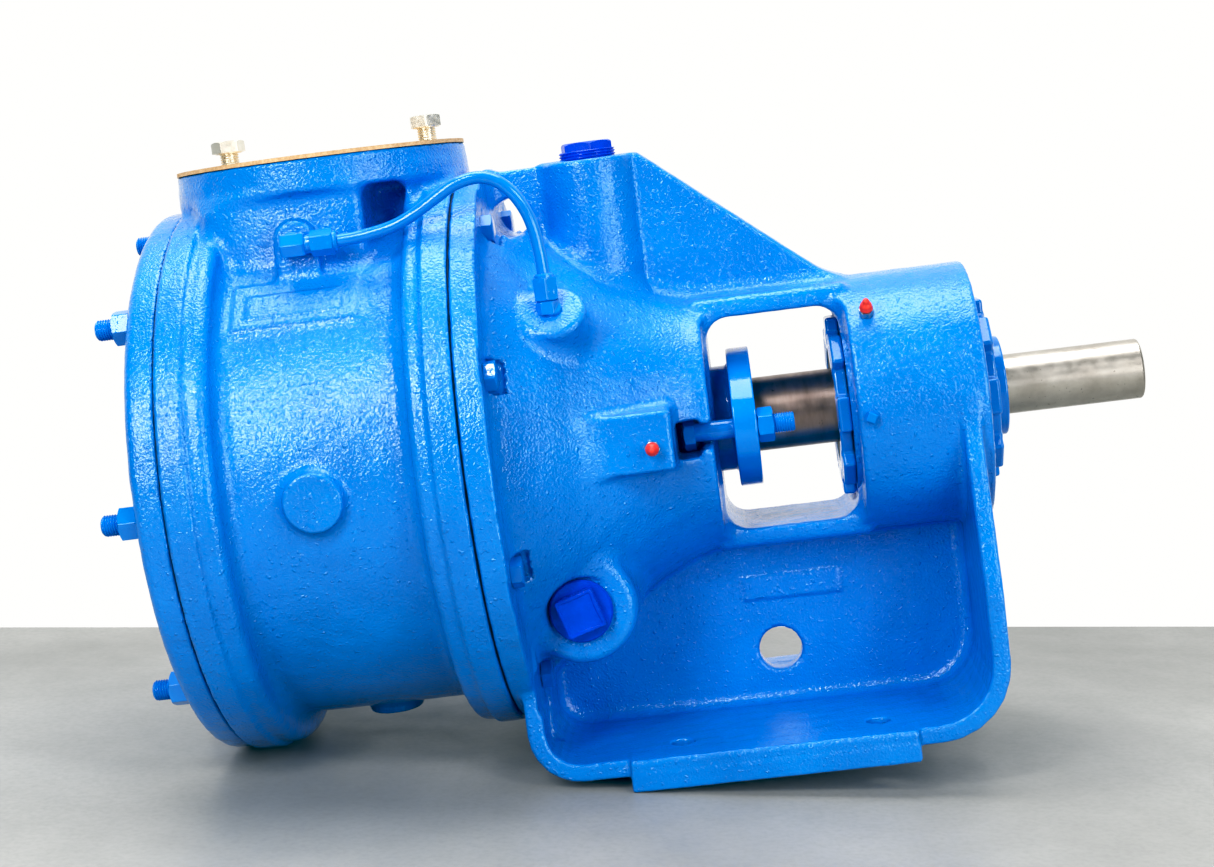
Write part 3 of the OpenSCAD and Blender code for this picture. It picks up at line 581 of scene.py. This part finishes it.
class Shape:
    """Closed shells gathered into one mesh."""

    def __init__(self):
        self.points, self.faces, self.count = [], [], 0

    def add(self, points, faces, origin=(0, 0, 0), axis=(0, 0, 1), spin=0.0):
        """Adds a shell drawn about +z: turned by spin degrees, z laid along axis, then moved to origin."""
        turn = Vector((0, 0, 1)).rotation_difference(Vector(axis)).to_matrix()
        turn = np.array(turn @ Matrix.Rotation(math.radians(spin), 3, "Z"))
        self.points.append(np.asarray(points, float) @ turn.T + np.array(origin, float))
        self.faces += [tuple(i + self.count for i in f) for f in faces]
        self.count += len(points)
        return self

    def build(self, name, sharp=32):
        """One linked object from the shells; edges bent by more than sharp degrees stay sharp."""
        mesh = bpy.data.meshes.new(name)
        mesh.from_pydata(to_row(np.vstack(self.points)).tolist(), [], self.faces)
        mesh.validate()
        mesh.polygons.foreach_set("use_smooth", [True] * len(mesh.polygons))
        mesh.set_sharp_from_angle(angle=math.radians(sharp))
        piece = bpy.data.objects.new(name, mesh)
        bpy.context.scene.collection.objects.link(piece)
        return piece


def skin(rings):
    """Points and faces of a closed shell through rings of equal size; a ring of one point is a pole."""
    points, faces, starts = [], [], []
    for r in rings:
        starts.append(len(points))
        points += [tuple(v) for v in r]
    for (i, a), (j, b) in zip(zip(starts, rings), zip(starts[1:], rings[1:])):
        n = max(len(a), len(b))
        for k in range(n):
            m = (k + 1) % n
            if len(a) == 1:
                faces.append((i, j + m, j + k))
            elif len(b) == 1:
                faces.append((i + k, i + m, j))
            else:
                faces.append((i + k, i + m, j + m, j + k))
    return points, faces


def ring(outline_points, z, scale=1.0, shrink=0.0):
    """An outline's points at height z, scaled and then moved in by shrink."""
    out = []
    for x, y in outline_points:
        r = math.hypot(x, y)
        f = scale * max(r - shrink, 0.01) / r
        out.append((x * f, y * f, z))
    return out


def circle(r, n=48):
    return [(r * math.cos(2 * math.pi * k / n), r * math.sin(2 * math.pi * k / n)) for k in range(n)]


def lathe(profile, n=48):
    """A shell turned about z from (radius, z) points, lowest first; radius 0 makes a pole."""
    return skin([[(0, 0, z)] if r == 0 else ring(circle(r, n), z) for r, z in profile])


def polygon_outline(sides, across, soft=1.2, steps=8):
    """A regular polygon by its distance across flats, with its corners rounded."""
    apothem = across / 2 - soft
    out = []
    for k in range(sides):
        mid = 2 * math.pi * (k + 0.5) / sides
        centre = apothem / math.cos(math.pi / sides)
        for j in range(steps):
            a = mid + (j / (steps - 1) - 0.5) * 2 * math.pi / sides
            out.append((centre * math.cos(mid) + soft * math.cos(a),
                        centre * math.sin(mid) + soft * math.sin(a)))
        flat = 2 * math.pi * (k + 1) / sides
        for f in (-0.6, -0.2, 0.2, 0.6):
            half = apothem * math.tan(math.pi / sides) * f
            radius = across / 2
            out.append((radius * math.cos(flat) - half * math.sin(flat),
                        radius * math.sin(flat) + half * math.cos(flat)))
    return out


def wrench_part(sides, across, z0, z1, low_chamfer, high_chamfer, bore=0.0, soft=0.9):
    """A hexagon or square head or nut: its corners are cut by cones at the chamfered ends."""
    line = polygon_outline(sides, across, soft)
    flat = across / 2 * 0.97
    tilt = math.tan(math.radians(30))

    def end(z, sign):
        return [(x, y, z + sign * max(math.hypot(x, y) - flat, 0) * tilt) for x, y in line]

    inner = flat - 0.5
    low = end(z0, 1) if low_chamfer else ring(line, z0)
    high = end(z1, -1) if high_chamfer else ring(line, z1)
    low_face = [(x * inner / math.hypot(x, y), y * inner / math.hypot(x, y), z0) for x, y in line]
    high_face = [(x, y, z1) for x, y, z in low_face]
    rings = [low_face, low, high, high_face] if low_chamfer else [low, high, high_face]
    if bore:
        wall = [(x * bore / math.hypot(x, y), y * bore / math.hypot(x, y)) for x, y in line]
        rings = [ring(wall, z0)] + rings + [ring(wall, z1)]
        points, faces = skin(rings)
        n, last = len(line), (len(rings) - 1) * len(line)
        faces += [(last + k, last + (k + 1) % n, (k + 1) % n, k) for k in range(n)]
        return points, faces
    return skin([[(0, 0, z0)]] + rings + [[(0, 0, z1)]])


def threaded(r, z0, z1, pitch, depth, n=36, chamfer=1.2):
    """A threaded rod as a grid whose radius follows the helix, with a chamfered free end at z1."""
    steps = max(int((z1 - z0) / pitch * 7), 4)
    rings = [[(0, 0, z0)]]
    for i in range(steps + 1):
        z = z0 + (z1 - z0) * i / steps
        row = []
        for k in range(n):
            turn = (z / pitch - k / n) % 1.0
            wave = min(1.0, max(0.0, 1.35 * abs(2 * turn - 1) - 0.12))
            radius = min(r - depth * (1 - wave), r - chamfer + (z1 - z))
            row.append((radius * math.cos(2 * math.pi * k / n), radius * math.sin(2 * math.pi * k / n), z))
        rings.append(row)
    return skin(rings + [[(0, 0, z1)]])


def tube(path, r, n=24):
    """A round tube along a path, as a shell in place."""
    path = np.array(path, float)
    along = np.gradient(path, axis=0)
    along /= np.linalg.norm(along, axis=1)[:, None]
    side = np.cross(along[0], (0, 1, 0))
    rings = [[tuple(path[0])]]
    for p, t in zip(path, along):
        side = side - t * (side @ t)
        side /= np.linalg.norm(side)
        up = np.cross(t, side)
        turns = np.linspace(0, 2 * math.pi, n, False)
        rings.append([tuple(p + r * (math.cos(a) * side + math.sin(a) * up)) for a in turns])
    return skin(rings + [[tuple(path[-1])]])


def around(pcr, angles):
    """Places on a circle at the given angles in degrees."""
    return [(pcr * math.cos(math.radians(a)), pcr * math.sin(math.radians(a))) for a in angles]


M16_R, M16_PITCH, M16_FLATS = 8, 2, 24
STUD_PCR = 198
NUT_T = 15


def head_studs():
    tip = span("head_studs", 0)[0]
    shape = Shape()
    for k, (y, z) in enumerate(around(STUD_PCR, EIGHTHS)):
        stud = threaded(M16_R, 0, HEAD_X0 + 4 - tip, M16_PITCH, 1.3, 36, 1.8)
        shape.add(*stud, (HEAD_X0 + 4, y, z), (-1, 0, 0), 40 * k)
    return shape.build("stud_ends")


def head_nuts():
    shape = Shape()
    for k, (y, z) in enumerate(around(STUD_PCR, EIGHTHS)):
        nut = wrench_part(6, M16_FLATS, 0, NUT_T, True, True, 7.6)
        shape.add(*nut, (HEAD_X0, y, z), (-1, 0, 0), 17 * k)
    return shape.build("stud_nuts")


def bracket_screws():
    top = span("bracket_screws", 0)[1]
    shape = Shape()
    for k, (y, z) in enumerate(around(SCREW_PCR, BETWEEN_EIGHTHS)):
        screw_head = wrench_part(6, 20.6, 0, top - SCREW_SEAT, False, True)
        shape.add(*screw_head, (SCREW_SEAT, y, z), (1, 0, 0), 22 * k)
        shape.add(*lathe([(0, -40), (6, -40), (6, 1), (0, 1)], 24), (SCREW_SEAT, y, z), (1, 0, 0))
    return shape.build("bracket_screw_heads")


def gland_bolts():
    head_x0, tip = span("gland_bolts", 0)
    shape = Shape()
    for y in (-GLAND_BOLT_Y, GLAND_BOLT_Y):
        shape.add(*wrench_part(6, M16_FLATS, -9, 0, True, False), (head_x0 + 9, y, 0), (1, 0, 0), 30)
        shank = lathe([(0, 0), (7.7, 0), (7.7, 44), (7.2, 45), (0, 45)], 32)
        shape.add(*shank, (head_x0 + 8.5, y, 0), (1, 0, 0))
        thread = threaded(M16_R, 0, tip - head_x0 - 53, M16_PITCH, 0.95)
        shape.add(*thread, (head_x0 + 53, y, 0), (1, 0, 0))
    return shape.build("gland_bolt_pair")


def gland_nuts():
    shape = Shape()
    for k, y in enumerate((-GLAND_BOLT_Y, GLAND_BOLT_Y)):
        nut = wrench_part(6, M16_FLATS, 0, 13, True, True, 7.7)
        shape.add(*nut, (GLAND_X1, y, 0), (1, 0, 0), 26 + 11 * k)
    return shape.build("gland_nut_pair")


def port_bolts(name, side):
    """Two loose bolts in a port flange; side is True for the port that faces +Y."""
    head, top = PORT_FACE + 17.1, span("top_port_bolts", 2)[1]
    shape = Shape()
    for k, a in enumerate((22.5, 157.5)):
        x, v = PORT_X + PORT_PCR * math.cos(math.radians(a)), PORT_PCR * math.sin(math.radians(a))
        axis = (0, 1, 0) if side else (0, 0, 1)
        origin = (x, head, -v) if side else (x, v, head)
        bolt_head = wrench_part(6, M16_FLATS, 0, top - head, False, True, soft=0.4)
        shape.add(*bolt_head, origin, axis, 12 + 35 * k)
        shape.add(*lathe([(0, -0.8), (11, -0.8), (11.2, 0.3), (0, 0.3)], 36), origin, axis)
        flipped = (0, -1, 0) if side else (0, 0, -1)
        shape.add(*threaded(7.8, -0.5, 38, M16_PITCH, 1.0), origin, flipped)
    return shape.build(name)


def top_plug():
    z0, z1 = span("top_plug", 2)
    seat = (TOP_BOSS_X, 0, TOP_BOSS_Z)
    depth = z0 - TOP_BOSS_Z
    shape = Shape()
    shape.add(*threaded(22.8, 0.2, 7.2, 2.4, 1.3, 56, 0.6), seat)
    shape.add(*lathe([(0, depth), (15, depth), (16.6, depth + 3), (16.6, 1), (0, 1)]), seat)
    shape.add(*wrench_part(6, 38, 6.5, z1 - TOP_BOSS_Z, False, True, soft=1.0), seat, (0, 0, 1), 12)
    return shape.build("top_plug_moulding", 28)


def side_plug(name, side):
    """A moulded plug with a square head; side is -1 for the near boss and 1 for the far one."""
    origin, axis = (JACKET[0], side * JACKET_FACE, JACKET[1]), (0, side, 0)
    shape = Shape()
    flange = [(23.9, 0.1), (24.5, 0.8), (24.5, 4.4), (23.2, 6), (0, 6)]
    shape.add(*lathe([(0, -18), (15.8, -18), (16.6, -16), (16.6, 0.1)] + flange), origin, axis)
    line = polygon_outline(4, 31, 2.2)
    rings = [ring(line, z, 1, inset) for z, inset in
             ((5, 0), (15.4, 0), (16.4, 0.35), (17, 1.2), (17, 2.6), (16.2, 3.6))]
    shape.add(*skin([[(0, 0, 5)]] + rings + [[(0, 0, 16.2)]]), origin, axis, -17 * side)
    return shape.build(name, 28)


TUBE_ROUTE = [(-104, -131, 184.6), (-94, -131, 184.6), (-84, -131, 184.5), (-70, -131, 185), (-54, -131, 187),
              (-38, -131, 190.5), (-22, -131, 197.5), (-5, -132, 207), (10, -132, 214.5), (27, -131, 217.5),
              (41, -130, 213), (52, -129.5, 202.5), (60, -129.5, 188), (64, -129.5, 173.5), (66, -129.8, 157),
              (66.8, -130, 143), (67, -130, 125)]


def flush_tube():
    shape = Shape()
    shape.add(*tube(smooth_path(TUBE_ROUTE, 5), 4.8))
    return shape.build("flush_line", 60)


def tube_nuts():
    shape = Shape()
    seats = (((-103.5, TUBE_Y, TUBE_Z), (1, 0, 0), 30), ((*CONNECTOR, CONNECTOR_Z + 10.5), (0, 0, 1), 4))
    for origin, axis, spin in seats:
        shape.add(*wrench_part(6, 17.5, 0, 17.5, True, True), origin, axis, spin)
        collar = lathe([(0, 16), (8, 16), (7.8, 19), (6.8, 20.3), (4.9, 20.5), (0, 20.5)], 40)
        shape.add(*collar, origin, axis)
    return shape.build("flush_line_nuts")


def set_screw():
    low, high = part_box("housing_set_screws")
    x = ((low[0] + high[0]) / 2 - ORIGIN[0]) * 1000
    face = span("housing_set_screws", 1)[0]
    shape = Shape()
    line = polygon_outline(4, 7.6, 0.7)
    shape.add(*skin([[(0, 0, 0)], ring(line, 0), ring(line, 5.2), ring(line, 6, 1, 0.9), [(0, 0, 6)]]),
              (x, face + 6, 0), (0, -1, 0), 62)
    shape.add(*lathe([(0, -26), (5, -26), (5, 1.5), (0, 1.5)], 28), (x, face + 6, 0), (0, -1, 0))
    return shape.build("housing_set_screw")


GREASE_SEATS = [((132, -143, 2), (0, -1, 0)),
                ((305.5, -HOUSING_R * math.cos(math.radians(47)), HOUSING_R * math.sin(math.radians(47))),
                 (0, -math.cos(math.radians(47)), math.sin(math.radians(47))))]


def grease_fittings():
    shape = Shape()
    for origin, axis in GREASE_SEATS:
        shape.add(*lathe([(0, -10), (3, -10), (3, 2), (0, 2)], 24), origin, axis)
        shape.add(*wrench_part(6, 10, 0.4, 6, True, True, soft=0.5), origin, axis, 20)
        shape.add(*lathe([(0, 5), (2.2, 5), (2.2, 8), (3, 9), (1.6, 10.6), (0, 10.6)], 24), origin, axis)
    return shape.build("grease_nipples")


def grease_caps():
    shape = Shape()
    for origin, axis in GREASE_SEATS:
        cap = [(0, 6.2), (4.6, 6.2), (5.2, 6.9), (5.2, 8.2), (4.5, 9.2), (4.7, 10), (4.2, 11.6), (2.8, 12.6)]
        cap += [(2.4, 13.2), (2.6, 15.4), (1.9, 16.6), (0, 17)]
        shape.add(*lathe(cap, 28), origin, axis)
    return shape.build("grease_nipple_caps", 50)


def shaft():
    x0, x1 = span("shaft", 0)
    r = half_width("shaft", 1)
    profile = [(0, x0), (r - 2, x0), (r - 2, ROTOR_X1), (r, ROTOR_X1), (r, 384)]
    profile += [(25, 384.6), (25, 413), (24, 413.4)]
    profile += [(24, x) for x in np.linspace(414, x1 - 1.8, 12)]
    profile += [(23.4, x1 - 0.7), (22, x1), (4.2, x1), (0.6, x1 - 4)]
    shape = Shape()
    shape.add(*lathe(profile + [(0, x1 - 4)], 96), (0, 0, 0), (1, 0, 0))
    return shape.build("pump_shaft", 25)


# -------- materials

def node(tree, kind, inputs=None, **settings):
    """A shader node; an input may be a value or another node's output."""
    made = tree.nodes.new(kind)
    for key, value in settings.items():
        setattr(made, key, value)
    for key, value in (inputs or {}).items():
        if isinstance(value, bpy.types.NodeSocket):
            tree.links.new(value, made.inputs[key])
        else:
            made.inputs[key].default_value = value
    return made


def noise(tree, size, detail=2.0, rough=0.5, shift=0.0, stretch=(1, 1, 1)):
    """Noise with features of about this size in millimetres, fixed to the piece."""
    place = tree.nodes.get("place") or node(tree, "ShaderNodeTexCoord", name="place")
    moved = node(tree, "ShaderNodeMapping", {"Vector": place.outputs["Object"],
                                             "Location": (shift, shift, shift), "Scale": stretch})
    made = node(tree, "ShaderNodeTexNoise", {"Vector": moved.outputs["Vector"], "Scale": 1000 / size,
                                             "Detail": detail, "Roughness": rough})
    return made.outputs["Fac"]


def ramp(tree, factor, *stops):
    """A colour ramp; each stop is a place and a colour or a single value."""
    made = node(tree, "ShaderNodeValToRGB", {"Fac": factor})
    line = made.color_ramp.elements
    while len(line) < len(stops):
        line.new(0.5)
    for element, (place, colour) in zip(line, stops):
        element.position = place
        element.color = (*colour, 1) if len(colour) == 3 else (colour[0],) * 3 + (1,)
    return made.outputs["Color"]


def mix(tree, factor, a, b):
    """Two colours mixed by a factor."""
    made = node(tree, "ShaderNodeMix", data_type="RGBA")
    for key, value in (("Factor", factor), ("A", a), ("B", b)):
        socket = [s for s in made.inputs if s.name == key and s.enabled][0]
        if isinstance(value, bpy.types.NodeSocket):
            tree.links.new(value, socket)
        else:
            socket.default_value = (*value, 1) if isinstance(value, tuple) else value
    return [s for s in made.outputs if s.enabled][0]


def patches(size, detail, rough, shift, low, high, start=0.3):
    """A function of the tree that runs between two colours or values in patches of about this size."""
    return lambda tree: ramp(tree, noise(tree, size, detail, rough, shift), (start, low), (0.7, high))


def finish_material(name, colour, rough, relief=(), **shader_values):
    """A Principled material. colour and rough are functions of the tree; relief holds (noise, height in mm)."""
    material = bpy.data.materials.new(name)
    material.use_nodes = True
    tree = material.node_tree
    shader = tree.nodes["Principled BSDF"]
    for key, value in shader_values.items():
        shader.inputs[key.replace("_", " ").title().replace("Ior", "IOR")].default_value = value
    tree.links.new(colour(tree), shader.inputs["Base Color"])
    tree.links.new(rough(tree), shader.inputs["Roughness"])
    normal = None
    for height, amount in relief:
        inputs = {"Height": height(tree), "Strength": 1.0, "Distance": amount / 1000}
        if normal:
            inputs["Normal"] = normal
        normal = node(tree, "ShaderNodeBump", inputs).outputs["Normal"]
    if normal:
        tree.links.new(normal, shader.inputs["Normal"])
        if shader_values.get("coat_weight"):
            tree.links.new(normal, shader.inputs["Coat Normal"])
    return material


def enamel(name, peel, cast):
    """Gloss blue enamel: thick orange peel over sand-cast iron."""
    def colour(tree):
        slow = ramp(tree, noise(tree, 70, 3), (0.3, (0.0004, 0.185, 0.58)), (0.7, (0.0006, 0.235, 0.71)))
        thin = ramp(tree, noise(tree, 4, 3, 0.6, 3.1), (0.62, (0.0,)), (0.78, (1.0,)))
        dusty = mix(tree, thin, slow, (0.001, 0.275, 0.78))
        specks = ramp(tree, noise(tree, 2.6, 1, 0.5, 9.7), (0.80, (0.0,)), (0.84, (1.0,)))
        return mix(tree, specks, dusty, (0.0008, 0.08, 0.34))

    def grains(tree):
        return ramp(tree, noise(tree, 3.0, 0, 0.5, 4.4), (0.68, (0.0,)), (0.82, (1.0,)))

    relief = [(lambda tree: noise(tree, 9, 2, 0.5, 1.3), cast),
              (lambda tree: noise(tree, 1.9, 1, 0.5, 7.9), peel),
              (grains, peel * 0.8)]
    rough = patches(18, 4, 0.6, 5.5, (0.34,), (0.46,))
    return finish_material(name, colour, rough, relief, coat_weight=1.0, coat_roughness=0.07, coat_ior=1.5,
                           specular_ior_level=0.1)


def metal(name, dark, light, low, high, patch=20.0, relief=0.01, stretch=(1, 1, 1), grain=0.6):
    """Bare metal, patchy from dark to light and from low to high roughness, with fine scratches."""
    colour = patches(patch, 5, 0.6, 0.0, dark, light)
    rough = patches(patch * 0.4, 4, 0.6, 2.2, (low,), (high,))
    scratches = (lambda tree: noise(tree, grain, 2, 0.5, 6.1, stretch), relief)
    return finish_material(name, colour, rough, [scratches], metallic=1.0)


def moulded(name, dark, light, low, high, relief=0.02, **more):
    """Plastic, rubber, gasket and packing."""
    colour = patches(12, 4, 0.6, 0.0, dark, light)
    rough = patches(5, 4, 0.7, 2.2, (low,), (high,), 0.35)
    return finish_material(name, colour, rough, [(lambda tree: noise(tree, 3, 4, 0.6, 6.1), relief)], **more)


def shaft_steel():
    """Ground steel: bright at the extension, browned where it runs through the window."""
    def colour(tree):
        place = node(tree, "ShaderNodeTexCoord", name="place")
        split = node(tree, "ShaderNodeSeparateXYZ", {"Vector": place.outputs["Object"]})
        bright = ramp(tree, noise(tree, 22, 6, 0.65), (0.3, (0.44, 0.405, 0.36)), (0.65, (0.57, 0.54, 0.49)))
        brown = ramp(tree, noise(tree, 12, 4, 0.6, 4.0, (1.0, 0.25, 0.25)), (0.3, (0.28, 0.21, 0.185)),
                     (0.7, (0.44, 0.35, 0.31)))
        where = node(tree, "ShaderNodeMapRange", {"Value": split.outputs["X"],
                                                  "From Min": to_row((300, 0, 0))[0],
                                                  "From Max": to_row((400, 0, 0))[0]})
        aged = mix(tree, where.outputs["Result"], brown, bright)
        spots = ramp(tree, noise(tree, 3.5, 3, 0.6, 8.0), (0.66, (0.0,)), (0.74, (1.0,)))
        return mix(tree, spots, aged, (0.16, 0.13, 0.11))

    rough = patches(9, 5, 0.6, 2.2, (0.30,), (0.42,))
    relief = [(lambda tree: noise(tree, 1.2, 3, 0.6, 6.1, (4.0, 0.12, 0.12)), 0.005),
              (lambda tree: noise(tree, 9, 2, 0.5, 1.1), 0.006)]
    return finish_material("ground_steel", colour, rough, relief, metallic=1.0)


def fibreboard():
    def colour(tree):
        fibre = ramp(tree, noise(tree, 2.5, 5, 0.7, 0.0, (1.0, 0.25, 1.0)),
                     (0.3, (0.50, 0.30, 0.14)), (0.7, (0.80, 0.56, 0.32)))
        stain = ramp(tree, noise(tree, 30, 3, 0.5, 3.0), (0.45, (0.0,)), (0.8, (0.5,)))
        return mix(tree, stain, fibre, (0.42, 0.25, 0.12))

    rough = patches(4, 3, 0.5, 0.0, (0.65,), (0.85,))
    return finish_material("fibreboard", colour, rough, [(lambda tree: noise(tree, 1.2, 4, 0.6), 0.08)])


def floor_material():
    def colour(tree):
        slow = ramp(tree, noise(tree, 260, 5, 0.55), (0.3, (0.295, 0.292, 0.278)), (0.7, (0.39, 0.387, 0.370)))
        fine = ramp(tree, noise(tree, 5, 4, 0.6, 2.0), (0.4, (0.0,)), (0.8, (0.35,)))
        return mix(tree, fine, slow, (0.21, 0.21, 0.20))

    rough = patches(60, 4, 0.6, 0.0, (0.38,), (0.55,))
    return finish_material("floor", colour, rough, [(lambda tree: noise(tree, 4, 3), 0.02)])


looks = {
    "blue_enamel": enamel("blue_enamel", 0.58, 0.22),
    "smooth_enamel": enamel("smooth_enamel", 0.07, 0.12),
    "plug_plastic": moulded("plug_plastic", (0.0006, 0.058, 0.50), (0.001, 0.080, 0.64), 0.20, 0.34, 0.05,
                            specular_ior_level=0.35),
    "red_plastic": moulded("red_plastic", (0.70, 0.035, 0.02), (0.85, 0.06, 0.04), 0.35, 0.5),
    "seal_rubber": moulded("seal_rubber", (0.012, 0.012, 0.013), (0.03, 0.03, 0.03), 0.5, 0.7),
    "gasket": moulded("gasket", (0.004, 0.012, 0.03), (0.01, 0.03, 0.06), 0.6, 0.8),
    "graphite": moulded("graphite", (0.02, 0.02, 0.022), (0.06, 0.06, 0.065), 0.35, 0.6, 0.03, metallic=0.4),
    "fibreboard": fibreboard(),
    "ground_steel": shaft_steel(),
    "bearing_steel": metal("bearing_steel", (0.50, 0.50, 0.50), (0.62, 0.62, 0.61), 0.12, 0.24, 25, 0.004),
    "bare_iron": metal("bare_iron", (0.16, 0.15, 0.14), (0.30, 0.29, 0.28), 0.35, 0.55, 15, 0.05),
    "bronze": metal("bronze", (0.42, 0.25, 0.10), (0.62, 0.42, 0.20), 0.28, 0.45, 12, 0.02),
    "zinc_plate": metal("zinc_plate", (0.74, 0.72, 0.62), (0.88, 0.88, 0.82), 0.30, 0.46, 10, 0.008),
    "fitting_steel": metal("fitting_steel", (0.42, 0.42, 0.41), (0.60, 0.60, 0.58), 0.25, 0.4, 8, 0.02),
}


def paint(piece, look):
    piece.data.materials.clear()
    piece.data.materials.append(looks[look])


# -------- assembly

STEP = 3.0
FINE = 1.0
BODY = "pump_body"
BRACKET_NODES = ("bracket", "bracket_rails", "bracket_bearing_end", "bracket_foot")


def add(piece, look, body, *nodes, slot=None):
    """Gives a new piece its material and its body, and hides the CAD nodes that it stands for."""
    paint(piece, look)
    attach(piece, body)
    if nodes:
        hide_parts(*nodes)


def add_painted(piece, body, *nodes):
    """The same for a small piece whose enamel lies smooth."""
    add(piece, "smooth_enamel", body, *nodes, slot="blue_enamel")


def add_castings():
    large = (("casing_casting", casing, (-229, -226, -226), (5, 250, 250), ("casing",)),
             ("head_casting", head, (-254, -222, -222), (-118, 222, 222), ("head",)),
             ("bracket_casting", bracket, (-76, -223, -263), (391, 223, 226), BRACKET_NODES))
    for name, field, low, high, cads in large:
        add(cast_piece(name, field, low, high, STEP), "blue_enamel", BODY, *cads)
    low, high = (150, -87, -58), (213, 87, 58)
    add_painted(cast_piece("gland_casting", gland, low, high, FINE, None), "gland_assembly", "gland")
    caps = (("inner_cap_ring", inner_cap, "inner_end_cap"), ("outer_cap_ring", outer_cap, "outer_end_cap"))
    for name, field, cad in caps:
        x0, x1 = span(cad, 0)
        add_painted(cast_piece(name, field, (x0, -74, -74), (x1, 74, 74), FINE * 1.2, None), BODY, cad)
    piece = cast_piece("flush_line_fittings", fittings, (-130, -145, 95), (80, -110, 200), FINE * 0.7, None)
    add_painted(piece, BODY, "flush_fittings")


def add_small_pieces():
    painted = ((head_studs, BODY, "head_studs"), (head_nuts, BODY, "head_nuts"),
               (bracket_screws, BODY, "bracket_screws"), (gland_bolts, BODY, "gland_bolts"),
               (gland_nuts, "gland_assembly", "gland_nuts"), (flush_tube, BODY, "flush_tube"),
               (tube_nuts, BODY, "flush_tube_nuts"), (set_screw, BODY, "housing_set_screws"))
    for make, body, cad in painted:
        add_painted(make(), body, cad)
    add(port_bolts("top_port_loose_bolts", False), "zinc_plate", BODY, "top_port_bolts")
    add(port_bolts("side_port_loose_bolts", True), "zinc_plate", BODY, "side_port_bolts")
    add(top_plug(), "plug_plastic", BODY, "top_plug")
    add(side_plug("near_plug_moulding", -1), "plug_plastic", BODY, "near_side_plug")
    add(side_plug("far_plug_moulding", 1), "plug_plastic", BODY, "far_side_plug")
    add(grease_fittings(), "fitting_steel", BODY, "grease_fittings")
    add(grease_caps(), "red_plastic", BODY, "grease_fitting_caps")
    add(shaft(), "ground_steel", "shaft_assembly", "shaft")


def paint_cad_nodes():
    """Every CAD node that still shows takes the material of its slot in the record."""
    for part in frame["record"]["subparts"]:
        paint(frame["nodes"][part["node"]], part["material_slot"])


# -------- stage, light and camera

FLOOR_SLOPE = -0.1293       # the pump stands nose down, on its casing flange and the end of the foot pads
FLOOR_AT = (84, -262)


def floor():
    """A pale bench top under the pump, with its far edge behind it."""
    near, far, wide = -2600, 417, 2600
    corners = []
    for x, y in ((-wide, near), (wide, near), (wide, far + 0.06 * wide), (-wide, far - 0.06 * wide)):
        corners.append((x, y, FLOOR_AT[1] + FLOOR_SLOPE * (x - FLOOR_AT[0])))
    piece = mesh_object("bench_top", corners, [(0, 1, 2, 3)], smooth=False)
    piece.data.materials.append(floor_material())


def soft_light(name, place, aim, size, power, colour=(1, 1, 1)):
    """A rectangular light turned towards aim."""
    data = bpy.data.lights.new(name, "AREA")
    data.shape = "RECTANGLE"
    data.size, data.size_y = size
    data.energy = power
    data.color = colour
    lamp = bpy.data.objects.new(name, data)
    bpy.context.scene.collection.objects.link(lamp)
    lamp.location = place
    lamp.rotation_euler = (Vector(aim) - Vector(place)).to_track_quat("-Z", "Y").to_euler()


def world():
    """A white wall behind the bench and a dimmer room in front of it."""
    made = bpy.data.worlds.new("studio")
    made.use_nodes = True
    tree = made.node_tree
    place = node(tree, "ShaderNodeTexCoord")
    split = node(tree, "ShaderNodeSeparateXYZ", {"Vector": place.outputs["Generated"]})
    depth = node(tree, "ShaderNodeMapRange", {"Value": split.outputs["Y"], "From Min": -0.2, "From Max": 0.45},
                 interpolation_type="SMOOTHSTEP")
    colour = ramp(tree, depth.outputs["Result"], (0.0, (0.05, 0.052, 0.056)), (1.0, (1.0, 1.0, 0.985)))
    tree.links.new(colour, tree.nodes["Background"].inputs["Color"])
    tree.nodes["Background"].inputs["Strength"].default_value = 1.0
    bpy.context.scene.world = made


def exposure():
    """A studio camera's contrast: darker shadows, and no haze in the reds."""
    view = bpy.context.scene.view_settings
    view.view_transform = "Standard"
    view.use_curve_mapping = True
    curves = view.curve_mapping
    curves.black_level = (0.022, 0.004, 0.002)
    for place, value in ((0.12, 0.08), (0.5, 0.49), (0.8, 0.83)):
        curves.curves[3].points.new(place, value)
    curves.update()


def camera():
    """The photo's viewpoint, solved from points of the pump whose places are known."""
    data = bpy.data.cameras.new("camera")
    data.lens = 59.16
    data.sensor_width = 36
    made = bpy.data.objects.new("camera", data)
    bpy.context.scene.collection.objects.link(made)
    right, up, back = (0.99033, 0.05450, -0.12757), (0.11955, 0.13110, 0.98413), (0.07036, -0.98987, 0.12332)
    turn = Matrix((right, up, back)).transposed().to_4x4()
    made.matrix_world = Matrix.Translation((0.00356, -1.61888, 0.46272)) @ turn
    bpy.context.scene.camera = made


camera()
world()
floor()
middle = (0.0, 0.0, 0.26)
soft_light("key", (-1.0, -1.9, 1.3), middle, (0.55, 1.3), 34)
soft_light("side", (1.75, -1.45, 0.95), middle, (0.35, 1.5), 9)
soft_light("low_fill", (1.4, -2.0, 0.5), middle, (1.3, 0.8), 18.5)
soft_light("overhead", (0.0, 0.1, 2.3), middle, (1.7, 1.2), 42)
soft_light("left_spark", (-0.5, -1.7, 2.0), middle, (0.35, 0.35), 12)
soft_light("right_spark", (1.3, -1.7, 1.6), middle, (0.35, 0.35), 10)
exposure()

add_castings()
add_small_pieces()
paint_cad_nodes()
